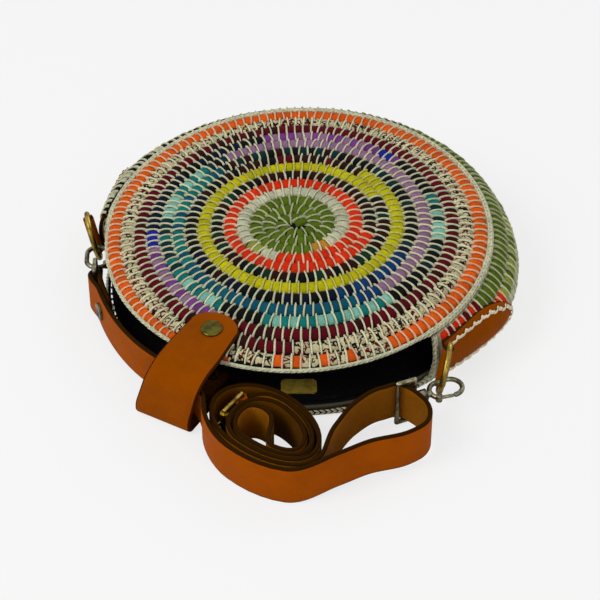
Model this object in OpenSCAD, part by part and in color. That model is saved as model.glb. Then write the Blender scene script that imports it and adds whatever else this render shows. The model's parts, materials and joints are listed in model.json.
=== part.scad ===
// Circle bag: a round crocheted shoulder bag, lying on its back panel.
// +Z is up, the bag's axis is the Z axis, and the open mouth faces -Y.

/* [Crochet body] */
// Radius of the rim, to the middle of the edging
rim_r = 112; // [100:1:125]
// Height of the front rim at the bag's axis
rim_h = 39.3; // [38:0.1:46]
// Lean of the front panel, higher at the far side
front_tilt = 4; // [2:0.5:4.5]
// Rise of the front panel's middle above its rim
front_dome = 8; // [3:0.5:12]
// Number of crochet rows in a panel
row_count = 14; // [10:1:18]
// Depth of the groove between two rows
row_depth = 1.6; // [0.6:0.1:1.6]
// Thickness of the front panel in its grooves
front_wall = 4.5; // [4:0.1:5]
// Height of the back panel
back_wall = 6; // [5:0.1:6.5]
// Radius of the crocheted edging round each panel
edge_r = 2; // [1.6:0.1:2.2]
// Thickness of the lining cloth
lining_t = 1; // [0.6:0.1:1.2]
// Angle of the mouth, where there is no gusset
mouth_angle = 145; // [135:1:150]
// Thickness of the gusset halfway up
gusset_wall = 5.5; // [4.5:0.1:6.5]
// Number of crochet rows in the gusset
gusset_rows = 5; // [4:1:6]
// How far the gusset swells outwards at the far side
mid_bulge = 12.6; // [8:0.2:15]
// How far the gusset swells outwards at its two ends
end_bulge = 2.6; // [1.5:0.1:3.5]

/* [Patches and rings] */
// Angle of gusset that a leather patch covers
patch_angle = 26.5; // [22:0.5:32]
// Half the height of a patch at its widest place
patch_half_h = 14; // [11:0.5:14]
// Thickness of the patch leather
patch_t = 2.3; // [1.5:0.1:2.5]
// Radius of the ring wire
ring_wire = 1.6; // [1.3:0.1:1.7]
// Radius of a D-ring, to the middle of its wire
ring_r = 14.35; // [14:0.05:14.6]
// Width of the leather loop that holds a D-ring
loop_w = 24; // [18:0.5:24.5]

/* [Strap] */
// Width of the strap
strap_w = 25; // [24:0.1:25.2]
// Thickness of the strap
strap_t = 2.6; // [2:0.1:2.7]
// Radius of the strap rivet's caps
strap_rivet_r = 5; // [3.5:0.1:6]
// Width of the strap's end where it holds the buckle
strap_end_w = 19; // [15:0.5:19.4]

/* [Hooks and buckle] */
// Radius of the hooks' wire
hook_wire = 1.4; // [1.1:0.1:1.45]
// Half the clear height of a hook's base ring
base_half_h = 12.8; // [12.7:0.05:13]
// Half the clear width inside a hook's claw
claw_half_w = 5; // [4.8:0.1:5.2]
// Length inside a hook's claw
claw_len = 16; // [15.5:0.1:16.5]
// Radius of a hook's barrel
barrel_r = 3.5; // [3:0.1:4]
// Half the clear height inside the buckle frame
buckle_half_h = 10; // [9.9:0.1:10.2]
// Distance between the buckle's two bars
buckle_reach = 16; // [14:0.5:16.5]
// Radius of the buckle's wire
buckle_wire = 1.3; // [1:0.1:1.35]

/* [Closure tab] */
// Thickness of the tab leather
tab_t = 2.6; // [2:0.1:2.8]
// Width of the tab at the bottom
tab_w = 35; // [30:0.5:36]
// Width of the tab at its crest
crest_w = 33; // [28:0.5:34]
// Width of the tab's end
tip_w = 30; // [24:0.5:32]
// Radius of the snap's cap
cap_r = 6; // [5:0.1:7]

/* [Label plate] */
// Length of the plate
plate_len = 20; // [14:0.5:24]
// Width of the plate
plate_w = 11; // [8:0.5:13]
// Thickness of the plate
plate_t = 1; // [0.6:0.1:1.5]

/* [Hidden] */
$fn = 48;

// Clearances
seam_gap = 0.3;
lining_gap = 0.2;
pin_gap = 0.08;
cut_over = 0.5;

// Helpers
function ease(t) = let (c = max(0, min(1, t))) c * c * (3 - 2 * c);
function unit(v) = v / norm(v);
function polar(r, a) = [r * cos(a), r * sin(a)];
function quad(a, b, c, d) = [[a, b, c], [a, c, d]];
function flatten(lists) = [for (l = lists) each l];
function left_of(d) = [-d[1], d[0]];

// A wall between two grids of points. Rows run anticlockwise round the bag, and
// the outer grid lies to their right.
module wall(outer, inner) {
    k = len(outer) - 1;
    m = len(outer[0]) - 1;
    n = (k + 1) * (m + 1);
    function o(i, j) = i * (m + 1) + j;
    function u(i, j) = n + o(i, j);
    faces = flatten([
        for (i = [0:k - 1]) for (j = [0:m - 1]) each [
            quad(o(i, j), o(i, j + 1), o(i + 1, j + 1), o(i + 1, j)),
            quad(u(i, j), u(i + 1, j), u(i + 1, j + 1), u(i, j + 1))],
        for (i = [0:k - 1]) each [
            quad(o(i, 0), o(i + 1, 0), u(i + 1, 0), u(i, 0)),
            quad(o(i + 1, m), o(i, m), u(i, m), u(i + 1, m))],
        for (j = [0:m - 1]) each [
            quad(o(0, j + 1), o(0, j), u(0, j), u(0, j + 1)),
            quad(o(k, j), o(k, j + 1), u(k, j + 1), u(k, j))]]);
    polyhedron(points = concat(flatten(outer), flatten(inner)), faces = faces, convexity = 10);
}

// A round cord along points that lie in one plane, whose normal is side.
module tube(path, r, side, sides = 8) {
    last = len(path) - 1;
    rings = [for (i = [0:last])
        let (t = unit(path[min(i + 1, last)] - path[max(i - 1, 0)]), b = cross(t, side))
        for (s = [0:sides - 1]) path[i] + r * (cos(360 * s / sides) * side + sin(360 * s / sides) * b)];
    skin = flatten([for (i = [0:last - 1]) for (s = [0:sides - 1])
        let (e = (s + 1) % sides)
        quad(i * sides + s, (i + 1) * sides + s, (i + 1) * sides + e, i * sides + e)]);
    polyhedron(points = rings, faces = concat(skin,
        [[for (s = [0:sides - 1]) s], [for (s = [sides - 1:-1:0]) last * sides + s]]));
}

// A round bar between two points, with round ends if wanted.
module bar(a, b, r, round_ends = false) {
    d = b - a;
    translate(a)
        rotate([0, acos(d[2] / norm(d)), atan2(d[1], d[0])])
            cylinder(h = norm(d), r = r);
    if (round_ends)
        for (p = [a, b]) translate(p) sphere(r = r);
}

// Crochet body
groove_steps = 5;
row_pitch = (rim_r - edge_r - seam_gap) / row_count;
panel_r = row_pitch * row_count;
lining_r = panel_r - edge_r;
mouth_middle = -90;
gusset_from = mouth_middle + mouth_angle / 2;
gusset_to = mouth_middle + 360 - mouth_angle / 2;
bulge_run = 24;
gusset_lo = 2 * edge_r + seam_gap;
gusset_steps = 54;
gusset_rise_steps = 3 * gusset_rows;

function dome_z(r) = front_dome * (1 - pow(r / rim_r, 2));
function crest(r) = row_depth * abs(sin(180 * r / row_pitch));
function front_z(y) = rim_h + y * tan(front_tilt);
function bulge(a) = end_bulge
    + (mid_bulge - end_bulge) * ease(min(a - gusset_from, gusset_to - a) / bulge_run);
function gusset_hi(a) = front_z(rim_r * sin(a)) - edge_r - seam_gap;
function gusset_z(a, s) = gusset_lo + s * (gusset_hi(a) - gusset_lo);
function gusset_share(a, z) = (z - gusset_lo) / (gusset_hi(a) - gusset_lo);
function gusset_mid(a, s) = rim_r + bulge(a) * sin(180 * s);
function gusset_half(s) = edge_r + (gusset_wall / 2 - edge_r) * sin(180 * s);
function gusset_out(a, s) = gusset_mid(a, s) + gusset_half(s) + row_depth;
function on_axis(r, a, z) = [r * cos(a), r * sin(a), z];

module front_frame() {
    translate([0, 0, rim_h]) rotate([front_tilt, 0, 0]) children();
}

module front_panel() {
    steps = row_count * groove_steps;
    top = [for (i = [0:steps]) let (r = panel_r * i / steps) [r, dome_z(r) + crest(r)]];
    under = [for (i = [row_count:-1:0]) let (r = panel_r * i / row_count) [r, dome_z(r) - front_wall]];
    color("darkolivegreen") front_frame() difference() {
        rotate_extrude($fn = 96) polygon(concat(top, under));
        translate([0, 0, snap_floor]) snap_at() cylinder(h = rim_h, r = snap_pocket_r);
    }
}

module back_panel() {
    steps = row_count * groove_steps;
    under = [for (i = [0:steps]) let (r = panel_r * i / steps)
        [r, r < row_pitch / 2 ? 0 : max(0, row_depth - crest(r) - back_flat)]];
    color("teal") difference() {
        rotate_extrude($fn = 96) polygon(concat(under, [[panel_r, back_wall], [0, back_wall]]));
        translate([0, 0, back_wall - shank_depth]) inner_holes();
    }
}
back_flat = 0.4;

module gusset() {
    grid = [for (i = [0:gusset_steps])
        gusset_from + (gusset_to - gusset_from) * i / gusset_steps];
    shares = [for (j = [0:gusset_rise_steps]) j / gusset_rise_steps];
    color("olivedrab") wall(
        [for (a = grid) [for (s = shares) on_axis(gusset_mid(a, s) + gusset_half(s)
            + row_depth * abs(sin(180 * gusset_rows * s)), a, gusset_z(a, s))]],
        [for (a = grid) [for (s = shares) on_axis(gusset_mid(a, s) - gusset_half(s), a, gusset_z(a, s))]]);
}

module gusset_lining() {
    steps = 36;
    rise = 8;
    low = back_wall + seam_gap;
    drop = front_wall + seam_gap;
    grid = [for (i = [0:steps]) gusset_from + (gusset_to - gusset_from) * i / steps];
    function lz(a, j) = low + (gusset_hi(a) + edge_r + seam_gap - drop - low) * j / rise;
    function lr(a, j) = let (s = gusset_share(a, lz(a, j))) gusset_mid(a, s) - gusset_half(s) - seam_gap;
    color("#1c1c1c") wall(
        [for (a = grid) [for (j = [0:rise]) on_axis(lr(a, j), a, lz(a, j))]],
        [for (a = grid) [for (j = [0:rise]) on_axis(lr(a, j) - lining_t, a, lz(a, j))]]);
}

module edging() {
    rotate_extrude($fn = 96) translate([rim_r, 0]) circle(r = edge_r, $fn = 24);
}
module front_edge() { color("beige") front_frame() edging(); }
module back_edge() { color("beige") translate([0, 0, edge_r]) edging(); }

// The edging up one end of the gusset. away is 1 past its last angle, and -1 before its first.
end_edge_r = 1.8;
module end_edging(a, away) {
    b = a + away * (end_edge_r + seam_gap) * 180 / PI / rim_r;
    steps = 10;
    side = [-sin(b), cos(b), 0];
    color("beige") tube([for (i = [0:steps]) let (s = i / steps)
        on_axis(gusset_mid(a, s) + row_depth / 2, b, gusset_z(a, s))], end_edge_r, side);
}
module left_end_edge() { end_edging(gusset_to, 1); }
module right_end_edge() { end_edging(gusset_from, -1); }

module front_lining() {
    steps = row_count;
    drop = front_wall + lining_gap;
    rs = [for (i = [0:steps]) lining_r * i / steps];
    color("#1c1c1c") front_frame() rotate_extrude($fn = 96) polygon(concat(
        [for (r = rs) [r, dome_z(r) - drop]],
        [for (i = [steps:-1:0]) [rs[i], dome_z(rs[i]) - drop - lining_t]]));
}

lining_floor = back_wall + lining_gap;
lining_top = lining_floor + lining_t;
module back_lining() {
    color("#1c1c1c") difference() {
        translate([0, 0, lining_floor]) cylinder(h = lining_t, r = lining_r, $fn = 96);
        inner_holes();
    }
}

// Patches, which follow the gusset outside its rows.
patch_gap = 0.2;
patch_end_share = 0.86;
patch_tip_share = 0.16;
patch_widest_share = 0.5;
function patch_half(u) = patch_half_h * (u < patch_widest_share
    ? patch_end_share + (1 - patch_end_share) * sin(90 * u / patch_widest_share)
    : max(patch_tip_share, sqrt(max(0, 1 - pow((u - patch_widest_share) / (1 - patch_widest_share), 2)))));

module patch(from, way) {
    steps = 20;
    rise = 8;
    shares = [for (i = [0:steps]) let (u = sin(90 * i / steps)) way > 0 ? u : sin(90 * (steps - i) / steps)];
    function pa(u) = from + way * patch_angle * u;
    function pz(u, j) = patch_z(pa(u)) + patch_half(u) * (2 * j / rise - 1);
    function pr(u, j) = gusset_out(pa(u), gusset_share(pa(u), pz(u, j))) + patch_gap;
    color("peru") wall(
        [for (u = shares) [for (j = [0:rise]) on_axis(pr(u, j) + patch_t, pa(u), pz(u, j))]],
        [for (u = shares) [for (j = [0:rise]) on_axis(pr(u, j), pa(u), pz(u, j))]]);
}
function patch_z(a) = (gusset_lo + gusset_hi(a)) / 2;
module left_patch() { patch(gusset_to, -1); }
module right_patch() { patch(gusset_from, 1); }

// D-rings. Each has its bar along its own Z and its bow towards -Y.
ring_out = 4.95;
right_ring_past = 2;
left_ring_past = 1.4;
bar_r = gusset_out(gusset_from, 0.5) + ring_out;
ring_z = patch_z(gusset_from);
right_bar = on_axis(bar_r, gusset_from - right_ring_past, ring_z);
left_bar = on_axis(bar_r, gusset_to + left_ring_past, ring_z);
right_turn = [-17, 9.2, 21.8];
left_turn = [-11.4, -11.5, 39.2];
loop_t = 1.7;
loop_hole_r = ring_wire + pin_gap;

module d_ring() {
    color("goldenrod") {
        bar([0, 0, -ring_r], [0, 0, ring_r], ring_wire, true);
        rotate([0, 90, 0]) rotate([0, 0, 180]) rotate_extrude(angle = 180)
            translate([ring_r, 0]) circle(r = ring_wire, $fn = 24);
    }
}
module left_d_ring() { translate(left_bar) rotate(left_turn) d_ring(); }
module right_d_ring() { translate(right_bar) rotate(right_turn) d_ring(); }

// The leather folded round a D-ring's bar, with its two ends together towards the patch.
loop_tail = 3.3;
module ring_loop() {
    color("peru") translate([0, 0, -loop_w / 2]) linear_extrude(loop_w) difference() {
        union() {
            circle(r = loop_hole_r + loop_t);
            polygon([[-loop_hole_r - loop_t, 0], [loop_hole_r + loop_t, 0], [loop_t, loop_tail],
                [-loop_t, loop_tail]]);
        }
        circle(r = loop_hole_r);
    }
}
left_loop_spin = -21.7;
right_loop_spin = -39.3;
module left_ring_loop() {
    translate(left_bar) rotate(left_turn) rotate([0, 0, left_loop_spin]) ring_loop();
}
module right_ring_loop() {
    translate(right_bar) rotate(right_turn) rotate([0, 0, right_loop_spin]) ring_loop();
}

// Snap hooks, in a frame with the base bar along Z and the claw towards +X.
base_reach = 10;
base_wall = base_half_h + hook_wire;
boss_r = 3;
boss_from = base_reach - hook_wire;
boss_to = base_reach + hook_wire;
shank_r = 1.3;
shank_head_r = 2.4;
shank_head_t = 1.2;
barrel_from = boss_to + pin_gap;
barrel_len = 6;
neck_r = 2.2;
neck_len = 2.6;
claw_r = claw_half_w + hook_wire;
claw_near = barrel_from + barrel_len + neck_len + claw_r;
claw_far = claw_near + claw_len - 2 * claw_half_w;
hinge_angle = 235;
hinge = [claw_near + claw_r * cos(hinge_angle), claw_r * sin(hinge_angle)];
gate_wire = 1;
gate_eye_r = 1.9;
gate_eye_half = 1;
gate_pin_r = 0.6;
cheek_t = 0.8;
gate_end = [claw_far - hook_wire - seam_gap, -claw_r];

module hook_base() {
    color("dimgray") {
        for (z = [-1, 1])
            bar([0, 0, z * base_wall], [base_reach, 0, z * base_wall], hook_wire, true);
        bar([0, 0, -base_wall], [0, 0, base_wall], hook_wire);
        difference() {
            union() {
                bar([base_reach, 0, -base_wall], [base_reach, 0, base_wall], hook_wire);
                bar([boss_from, 0, 0], [boss_to, 0, 0], boss_r);
            }
            bar([0, 0, 0], [base_reach * 2, 0, 0], shank_r + pin_gap);
        }
    }
}

module hook() {
    color("dimgray") {
        bar([boss_from - pin_gap - shank_head_t, 0, 0], [boss_from - pin_gap, 0, 0], shank_head_r);
        bar([boss_from - pin_gap - cut_over, 0, 0], [barrel_from + cut_over, 0, 0], shank_r);
        bar([barrel_from, 0, 0], [barrel_from + barrel_len, 0, 0], barrel_r);
        bar([barrel_from + barrel_len - cut_over, 0, 0], [claw_near - claw_r, 0, 0], neck_r);
        translate([claw_near, 0, 0]) arc_wire(90, 90);
        difference() {
            union() {
                translate([claw_near, 0, 0]) arc_wire(180, hinge_angle - 180);
                for (z = [-1, 1]) translate([hinge[0], hinge[1], z * (gate_eye_half + pin_gap + cheek_t / 2)])
                    cylinder(h = cheek_t, r = gate_eye_r, center = true);
            }
            translate(hinge)
                cylinder(h = 2 * (gate_eye_half + pin_gap), r = gate_eye_r + pin_gap, center = true);
            translate(hinge) cylinder(h = 4 * hook_wire, r = gate_pin_r + pin_gap / 2, center = true);
        }
        bar([claw_near, claw_r, 0], [claw_far, claw_r, 0], hook_wire);
        translate([claw_far, 0, 0]) arc_wire(-90, 180);
        translate([claw_far, -claw_r, 0]) sphere(r = hook_wire);
    }
}
module arc_wire(from, sweep) {
    rotate([0, 0, from]) rotate_extrude(angle = sweep) translate([claw_r, 0]) circle(r = hook_wire, $fn = 24);
}

module gate() {
    a = [hinge[0], hinge[1], 0];
    b = [gate_end[0], gate_end[1], 0];
    color("dimgray") difference() {
        union() {
            translate(a) cylinder(h = 2 * gate_eye_half, r = gate_eye_r, center = true);
            bar(a, b, gate_wire);
        }
        translate(a) cylinder(h = 4 * gate_eye_half, r = gate_pin_r + pin_gap / 2, center = true);
    }
}
module gate_pin() {
    half = gate_eye_half + pin_gap + cheek_t + pin_gap;
    color("silver") translate(hinge) cylinder(h = 2 * half, r = gate_pin_r, center = true);
}

// Where the hooks hang on the bows of the D-rings.
strap_lift = tab_t + 2 * seam_gap;
hook_z = strap_lift + strap_w / 2;
right_along = 27;
right_aside = 1.6;
right_way = 53;
right_bow = [right_bar[0], right_bar[1]] + ring_r * [0.286, -0.878];
left_along = 33.8;
left_aside = 0;
left_way = 121.8;
left_bow = [left_bar[0], left_bar[1]] + ring_r * [0.634, -0.634];
function base_at(bow, way, along, aside) = bow - along * polar(1, way) - aside * left_of(polar(1, way));
right_base = base_at(right_bow, right_way, right_along, right_aside);
left_base = base_at(left_bow, left_way, left_along, left_aside);
module on_hook(base, way) { translate([base[0], base[1], hook_z]) rotate([0, 0, way]) children(); }
module on_right_hook() { on_hook(right_base, right_way) children(); }
module on_left_hook() { on_hook(left_base, left_way) children(); }
module left_hook_base() { on_left_hook() hook_base(); }
module right_hook_base() { on_right_hook() hook_base(); }
module left_hook() { on_left_hook() hook(); }
module right_hook() { on_right_hook() hook(); }
module left_gate() { on_left_hook() gate(); }
module right_gate() { on_right_hook() gate(); }
module left_gate_pin() { on_left_hook() gate_pin(); }
module right_gate_pin() { on_right_hook() gate_pin(); }

// Strap: a centreline of [x, y, z of the lower edge], swept as a band on its edge.
wrap_r = hook_wire + strap_t / 2 + pin_gap;
layer_gap = 0.15;
left_base_a = atan2(left_base[1], left_base[0]);
inner_r = norm(left_base) - wrap_r;
outer_r = inner_r + strap_t + layer_gap;
fold_end_a = -127;
fold_close_a = -132.5;
fold_rivet_a = -130;
arc_end_a = -104;
arc_end_out = 2.2;
right_cross_a = 190;
right_cross = right_base
    + (hook_wire + strap_t / 2 + seam_gap) * polar(1, right_cross_a - 90);

// A knot is [place, heading, lower edge].
function turn(a, b) = let (d = (b - a) % 360) d > 180 ? d - 360 : d < -180 ? d + 360 : d;
function handle(a, b) = let (t = abs(turn(a[1], b[1])))
    norm(b[0] - a[0]) * (t < 1 ? 1 / 3 : 2 / 3 * tan(t / 4) / sin(t / 2));
function lift2(p, z) = [p[0], p[1], z];
function span(a, b, steps) = let (h = handle(a, b),
    c = [a[0], a[0] + h * polar(1, a[1]), b[0] - h * polar(1, b[1]), b[0]])
    [for (i = [0:steps - 1]) let (t = i / steps, s = 1 - t)
        lift2(s * s * s * c[0] + 3 * s * s * t * c[1] + 3 * s * t * t * c[2] + t * t * t * c[3],
            a[2] + (b[2] - a[2]) * ease(t))];
function route(knots, steps) = flatten([for (i = [0:len(knots) - 2]) span(knots[i], knots[i + 1], steps)]);

// The roll's own frame: quarter ellipses between its crossings of the two axes.
roll_at = [0.4732, -1.1768] * rim_r;
roll_turn = -15.8;
roll_half_share = 0.36295;
roll_half = rim_r * roll_half_share;
clockwise = [[0, 1], [1, 0], [0, -1], [-1, 0]];
anticlockwise = [[-1, 0], [0, -1], [1, 0], [0, 1]];
in_shares = [0.649, 1, 0.546, 0.787, 0.566, 0.898, 0.4576, 0.433, 0.3862, 0.6937];
out_shares = [0.342, 0.369, 0.7958, 0.476, 0.591];
outer_shares = [0.8979, 0.6445, 1.1021];
core_shares = [[0.4428, -0.2214], [-0.0492, 0.1722]];
core_headings = [197, 170];
start_t = 70;
end_t = 63;
quarter_steps = 9;
function quarter(shares, dirs, k, t) = roll_half
    * (shares[k] * cos(t) * dirs[k % 4] + shares[k + 1] * sin(t) * dirs[(k + 1) % 4]);
function quarters(shares, dirs, from, to, first_t, last_t) = [for (k = [from:to])
    let (a = k == from ? first_t : 0, b = k == to ? last_t : 90)
    for (i = [0:quarter_steps - 1]) quarter(shares, dirs, k, a + (b - a) * i / quarter_steps)];
function from_roll(p) = roll_at + [p[0] * cos(roll_turn) - p[1] * sin(roll_turn),
    p[0] * sin(roll_turn) + p[1] * cos(roll_turn)];
module roll_frame() { translate(roll_at) rotate([0, 0, roll_turn]) children(); }

core = concat(
    span([quarter(in_shares, clockwise, 8, 90), 270, 0], [roll_half * core_shares[0], core_headings[0], 0],
        quarter_steps),
    span([roll_half * core_shares[0], core_headings[0], 0], [roll_half * core_shares[1], core_headings[1], 0],
        quarter_steps),
    span([roll_half * core_shares[1], core_headings[1], 0], [roll_half * out_shares[0] * [-1, 0], 270, 0],
        quarter_steps));
roll_path = concat(quarters(in_shares, clockwise, 0, 8, start_t + seam_gap, 90),
    [for (p = core) [p[0], p[1]]],
    quarters(out_shares, anticlockwise, 0, 3, 0, end_t),
    [quarter(out_shares, anticlockwise, 3, end_t)]);

roll_start = from_roll(quarter(in_shares, clockwise, 0, start_t));
roll_start_a = -76.4;
outer_from_t = 35;
outer_to_t = 50;
outer_dirs = [[-1, 0], [0, -1], [1, 0]];
function outer_at(k, t) = from_roll(quarter(outer_shares, outer_dirs, k, t));
outer_loop = concat(
    [for (i = [0:5]) let (t = i / 6) lift2(outer_at(0, outer_from_t + (90 - outer_from_t) * t),
        strap_lift * (1 - ease(t)))],
    [for (i = [0:3]) lift2(outer_at(1, outer_to_t * i / 4), 0)]);
right_share_knots = [
    [[0.9063, -1.192], 56, 0.5], [[1.0045, -1.058], 50, 0.9],
    [[1.1339, -0.9196], 60, 1], [[1.1714, -0.8036], 97, 1],
    [[1.0937, -0.6902], 152, 1]];
down_share_knots = [[[0.8795, -0.7187], 226, 1], [[0.8054, -0.8661], 257, 0.5], [[0.7911, -1.0268], 270, 0]];
function scaled(knots) = [for (k = knots) [rim_r * k[0], k[1], strap_lift * k[2]]];

strap_path = concat(
    route([
        [polar(inner_r, fold_end_a), fold_end_a - 90, strap_lift],
        [left_base - wrap_r * polar(1, left_base_a), left_base_a - 90, strap_lift],
        [left_base + wrap_r * polar(1, left_base_a - 90), left_base_a, strap_lift],
        [left_base + wrap_r * polar(1, left_base_a), left_base_a + 90, strap_lift],
        [polar(outer_r, fold_close_a), fold_close_a + 90, strap_lift],
        [polar(outer_r + arc_end_out, arc_end_a), arc_end_a + 88, strap_lift],
        [outer_at(0, outer_from_t), -61.6, strap_lift]], 6),
    outer_loop,
    route(concat([[outer_at(1, outer_to_t), 19.1, 0]], scaled(right_share_knots),
        [[right_cross, right_cross_a, strap_lift]], scaled(down_share_knots),
        [[roll_start, roll_start_a, 0]]), 6),
    [lift2(roll_start, 0)]);

function along_path(path, i) = let (last = len(path) - 1, a = path[max(i - 1, 0)], b = path[min(i + 1, last)])
    unit([b[0] - a[0], b[1] - a[1]]);
function beside(path, d) = [for (i = [0:len(path) - 1])
    [path[i][0], path[i][1]] + d * left_of(along_path(path, i))];
function edges(path, d) = let (flat = beside(path, d))
    [for (i = [0:len(path) - 1]) [lift2(flat[i], path[i][2]), lift2(flat[i], path[i][2] + strap_w)]];

strap_mid_z = strap_lift + strap_w / 2;
strap_shank_r = 1.5;
strap_cap_t = 1.5;
module across_strap(from, to, r) {
    d = polar(1, fold_rivet_a);
    bar([from * d[0], from * d[1], strap_mid_z], [to * d[0], to * d[1], strap_mid_z], r);
}
module shoulder_strap() {
    color("chocolate") difference() {
        wall(edges(strap_path, -strap_t / 2), edges(strap_path, strap_t / 2));
        across_strap(inner_r - 2 * strap_t, outer_r + 2 * strap_t, strap_shank_r + pin_gap);
    }
}
module strap_rivet() {
    low = inner_r - strap_t / 2 - seam_gap - lining_gap;
    high = outer_r + strap_t / 2 + lining_gap;
    color("dimgray") {
        across_strap(low - strap_cap_t, high + strap_cap_t, strap_shank_r);
        across_strap(low - strap_cap_t, low, strap_rivet_r - strap_cap_t);
        across_strap(high, high + strap_cap_t, strap_rivet_r);
    }
}

// The buckle at the inner end of the roll
buckle_z = buckle_half_h + 2 * buckle_wire + lining_gap;
end_way = along_path(roll_path, len(roll_path) - 1);
heel = roll_path[len(roll_path) - 1] + (buckle_wire + pin_gap + strap_t / 2) * end_way;
buckle_turn = -79;
end_fold_r = 3.4;
roller_r = 2.4;
prong_r = 1;
prong_hub_r = 2.3;
prong_hub_half = 1.6;
prong_len = 17.6;
module buckle_place() { roll_frame() translate([heel[0], heel[1], buckle_z]) children(); }
module buckle_turned() { buckle_place() rotate([0, 0, buckle_turn]) children(); }

module strap_roll() {
    outline = concat(beside(roll_path, strap_t / 2), [for (i = [len(roll_path) - 1:-1:0])
        beside(roll_path, -strap_t / 2)[i]]);
    color("chocolate") difference() {
        union() {
            roll_frame() linear_extrude(strap_w) polygon(outline);
            buckle_place() cylinder(h = strap_end_w, r = end_fold_r, center = true);
        }
        buckle_place() cylinder(h = 2 * strap_w, r = buckle_wire + pin_gap, center = true);
        buckle_place() cylinder(h = 2 * (prong_hub_half + seam_gap), r = end_fold_r + seam_gap, center = true);
    }
}
module buckle_frame() {
    z = buckle_half_h + buckle_wire;
    color("goldenrod") buckle_turned() {
        for (x = [0, buckle_reach]) bar([x, 0, -z], [x, 0, z], buckle_wire, true);
        for (s = [-1, 1]) bar([0, 0, s * z], [buckle_reach, 0, s * z], buckle_wire);
    }
}
module buckle_roller() {
    color("goldenrod") buckle_turned() translate([buckle_reach, 0, 0]) difference() {
        cylinder(h = 2 * (buckle_half_h - seam_gap), r = roller_r, center = true);
        cylinder(h = 3 * buckle_half_h, r = buckle_wire + pin_gap, center = true);
    }
}
module buckle_prong() {
    rest_y = -roller_r - prong_r - pin_gap;
    start = [prong_hub_r / 2, -prong_hub_r + prong_r / 2, 0];
    seat = [buckle_reach, rest_y, 0];
    tip = seat + (prong_len - buckle_reach) * unit(seat - start);
    color("goldenrod") buckle_turned() difference() {
        union() {
            cylinder(h = 2 * prong_hub_half, r = prong_hub_r, center = true);
            bar(start, tip, prong_r);
        }
        cylinder(h = 4 * prong_hub_half, r = buckle_wire + pin_gap, center = true);
    }
}

// The gap between two turns of the roll, from each point to each stretch not beside it
function to_stretch(p, a, b) = let (d = b - a, t = max(0, min(1, (p - a) * d / (d * d)))) norm(p - a - t * d);
skip = 7;
echo(least_gap_in_roll = min([for (i = [0:len(roll_path) - 1]) for (j = [0:len(roll_path) - 2])  // strap_roll
        if (abs(i - j) > skip) to_stretch(roll_path[i], roll_path[j], roll_path[j + 1])]) - strap_t);

// Closure tab, as a profile of [reach from the axis towards -Y, height]
snap_inset = 15;
snap_reach = rim_r - snap_inset;
split_past = 4;
tab_split = rim_r + split_past;
tab_slit = 0.3;
flap_gap = 1.25;
flap_low = dome_z(snap_reach) + row_depth + flap_gap;
flap_top = flap_low + tab_t;
tip_past = 13;
flap_tip = snap_reach - tip_past;
snap_x = 0.8;
tab_foot_x = -6;
tab_inset = 16;
tab_in_u = rim_r - tab_inset;
tab_in_z = lining_top + lining_gap + tab_t / 2;
rim_turn_r = 6;
foot_turn_r = 2.5;
heel_turn_r = 3.5;
crest_turn_r = 15;
rim_turn_u = rim_r - edge_r;
tab_reach = 23.7;
lean = 96;
foot_z = tab_t / 2;
rim_turn_z = tab_in_z - rim_turn_r;
foot_turn_z = foot_z + foot_turn_r;
foot_turn_u = rim_turn_u + sqrt(pow(rim_turn_r + foot_turn_r, 2) - pow(foot_turn_z - rim_turn_z, 2));
rim_turn_a = atan2(foot_turn_z - rim_turn_z, foot_turn_u - rim_turn_u);
heel_c = [rim_r + tab_reach, foot_z + heel_turn_r];
heel_end = heel_c + polar(heel_turn_r, lean - 90);
top_mid = flap_low + tab_t / 2;
top_point = [top_mid * sin(front_tilt), rim_h + top_mid * cos(front_tilt)];
top_way = 180 - front_tilt;
down = polar(1, top_way + 90);
rise_len = (crest_turn_r - (heel_end + crest_turn_r * polar(1, lean + 90) - top_point) * down)
    / (polar(1, lean) * down);
crest_c = heel_end + rise_len * polar(1, lean) + crest_turn_r * polar(1, lean + 90);
split_point = top_point - (tab_split + tab_slit / 2) * polar(1, top_way);

function arc(c, r, a, b, steps) = [for (i = [0:steps]) c + polar(r, a + (b - a) * i / steps)];
tab_path = concat([[tab_in_u, tab_in_z]],
    arc([rim_turn_u, rim_turn_z], rim_turn_r, 90, rim_turn_a, 6),
    arc([foot_turn_u, foot_turn_z], foot_turn_r, 180 + rim_turn_a, 270, 5),
    arc(heel_c, heel_turn_r, -90, lean - 90, 7),
    arc(crest_c, crest_turn_r, lean - 90, top_way - 90, 9), [split_point]);
function tab_rise(z) = max(0, min(1, (z - tab_in_z) / (crest_c[1] + crest_turn_r - tab_in_z)));
function tab_x(z) = tab_foot_x + (snap_x - tab_foot_x) * tab_rise(z);
function tab_half(z) = (tab_w + (crest_w - tab_w) * tab_rise(z)) / 2;
function tab_side(d) = let (flat = beside(tab_path, d)) [for (i = [0:len(tab_path) - 1])
    let (z = tab_path[i][1]) [for (s = [-1, 1]) [tab_x(z) + s * tab_half(z), -flat[i][0], flat[i][1]]]];

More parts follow.
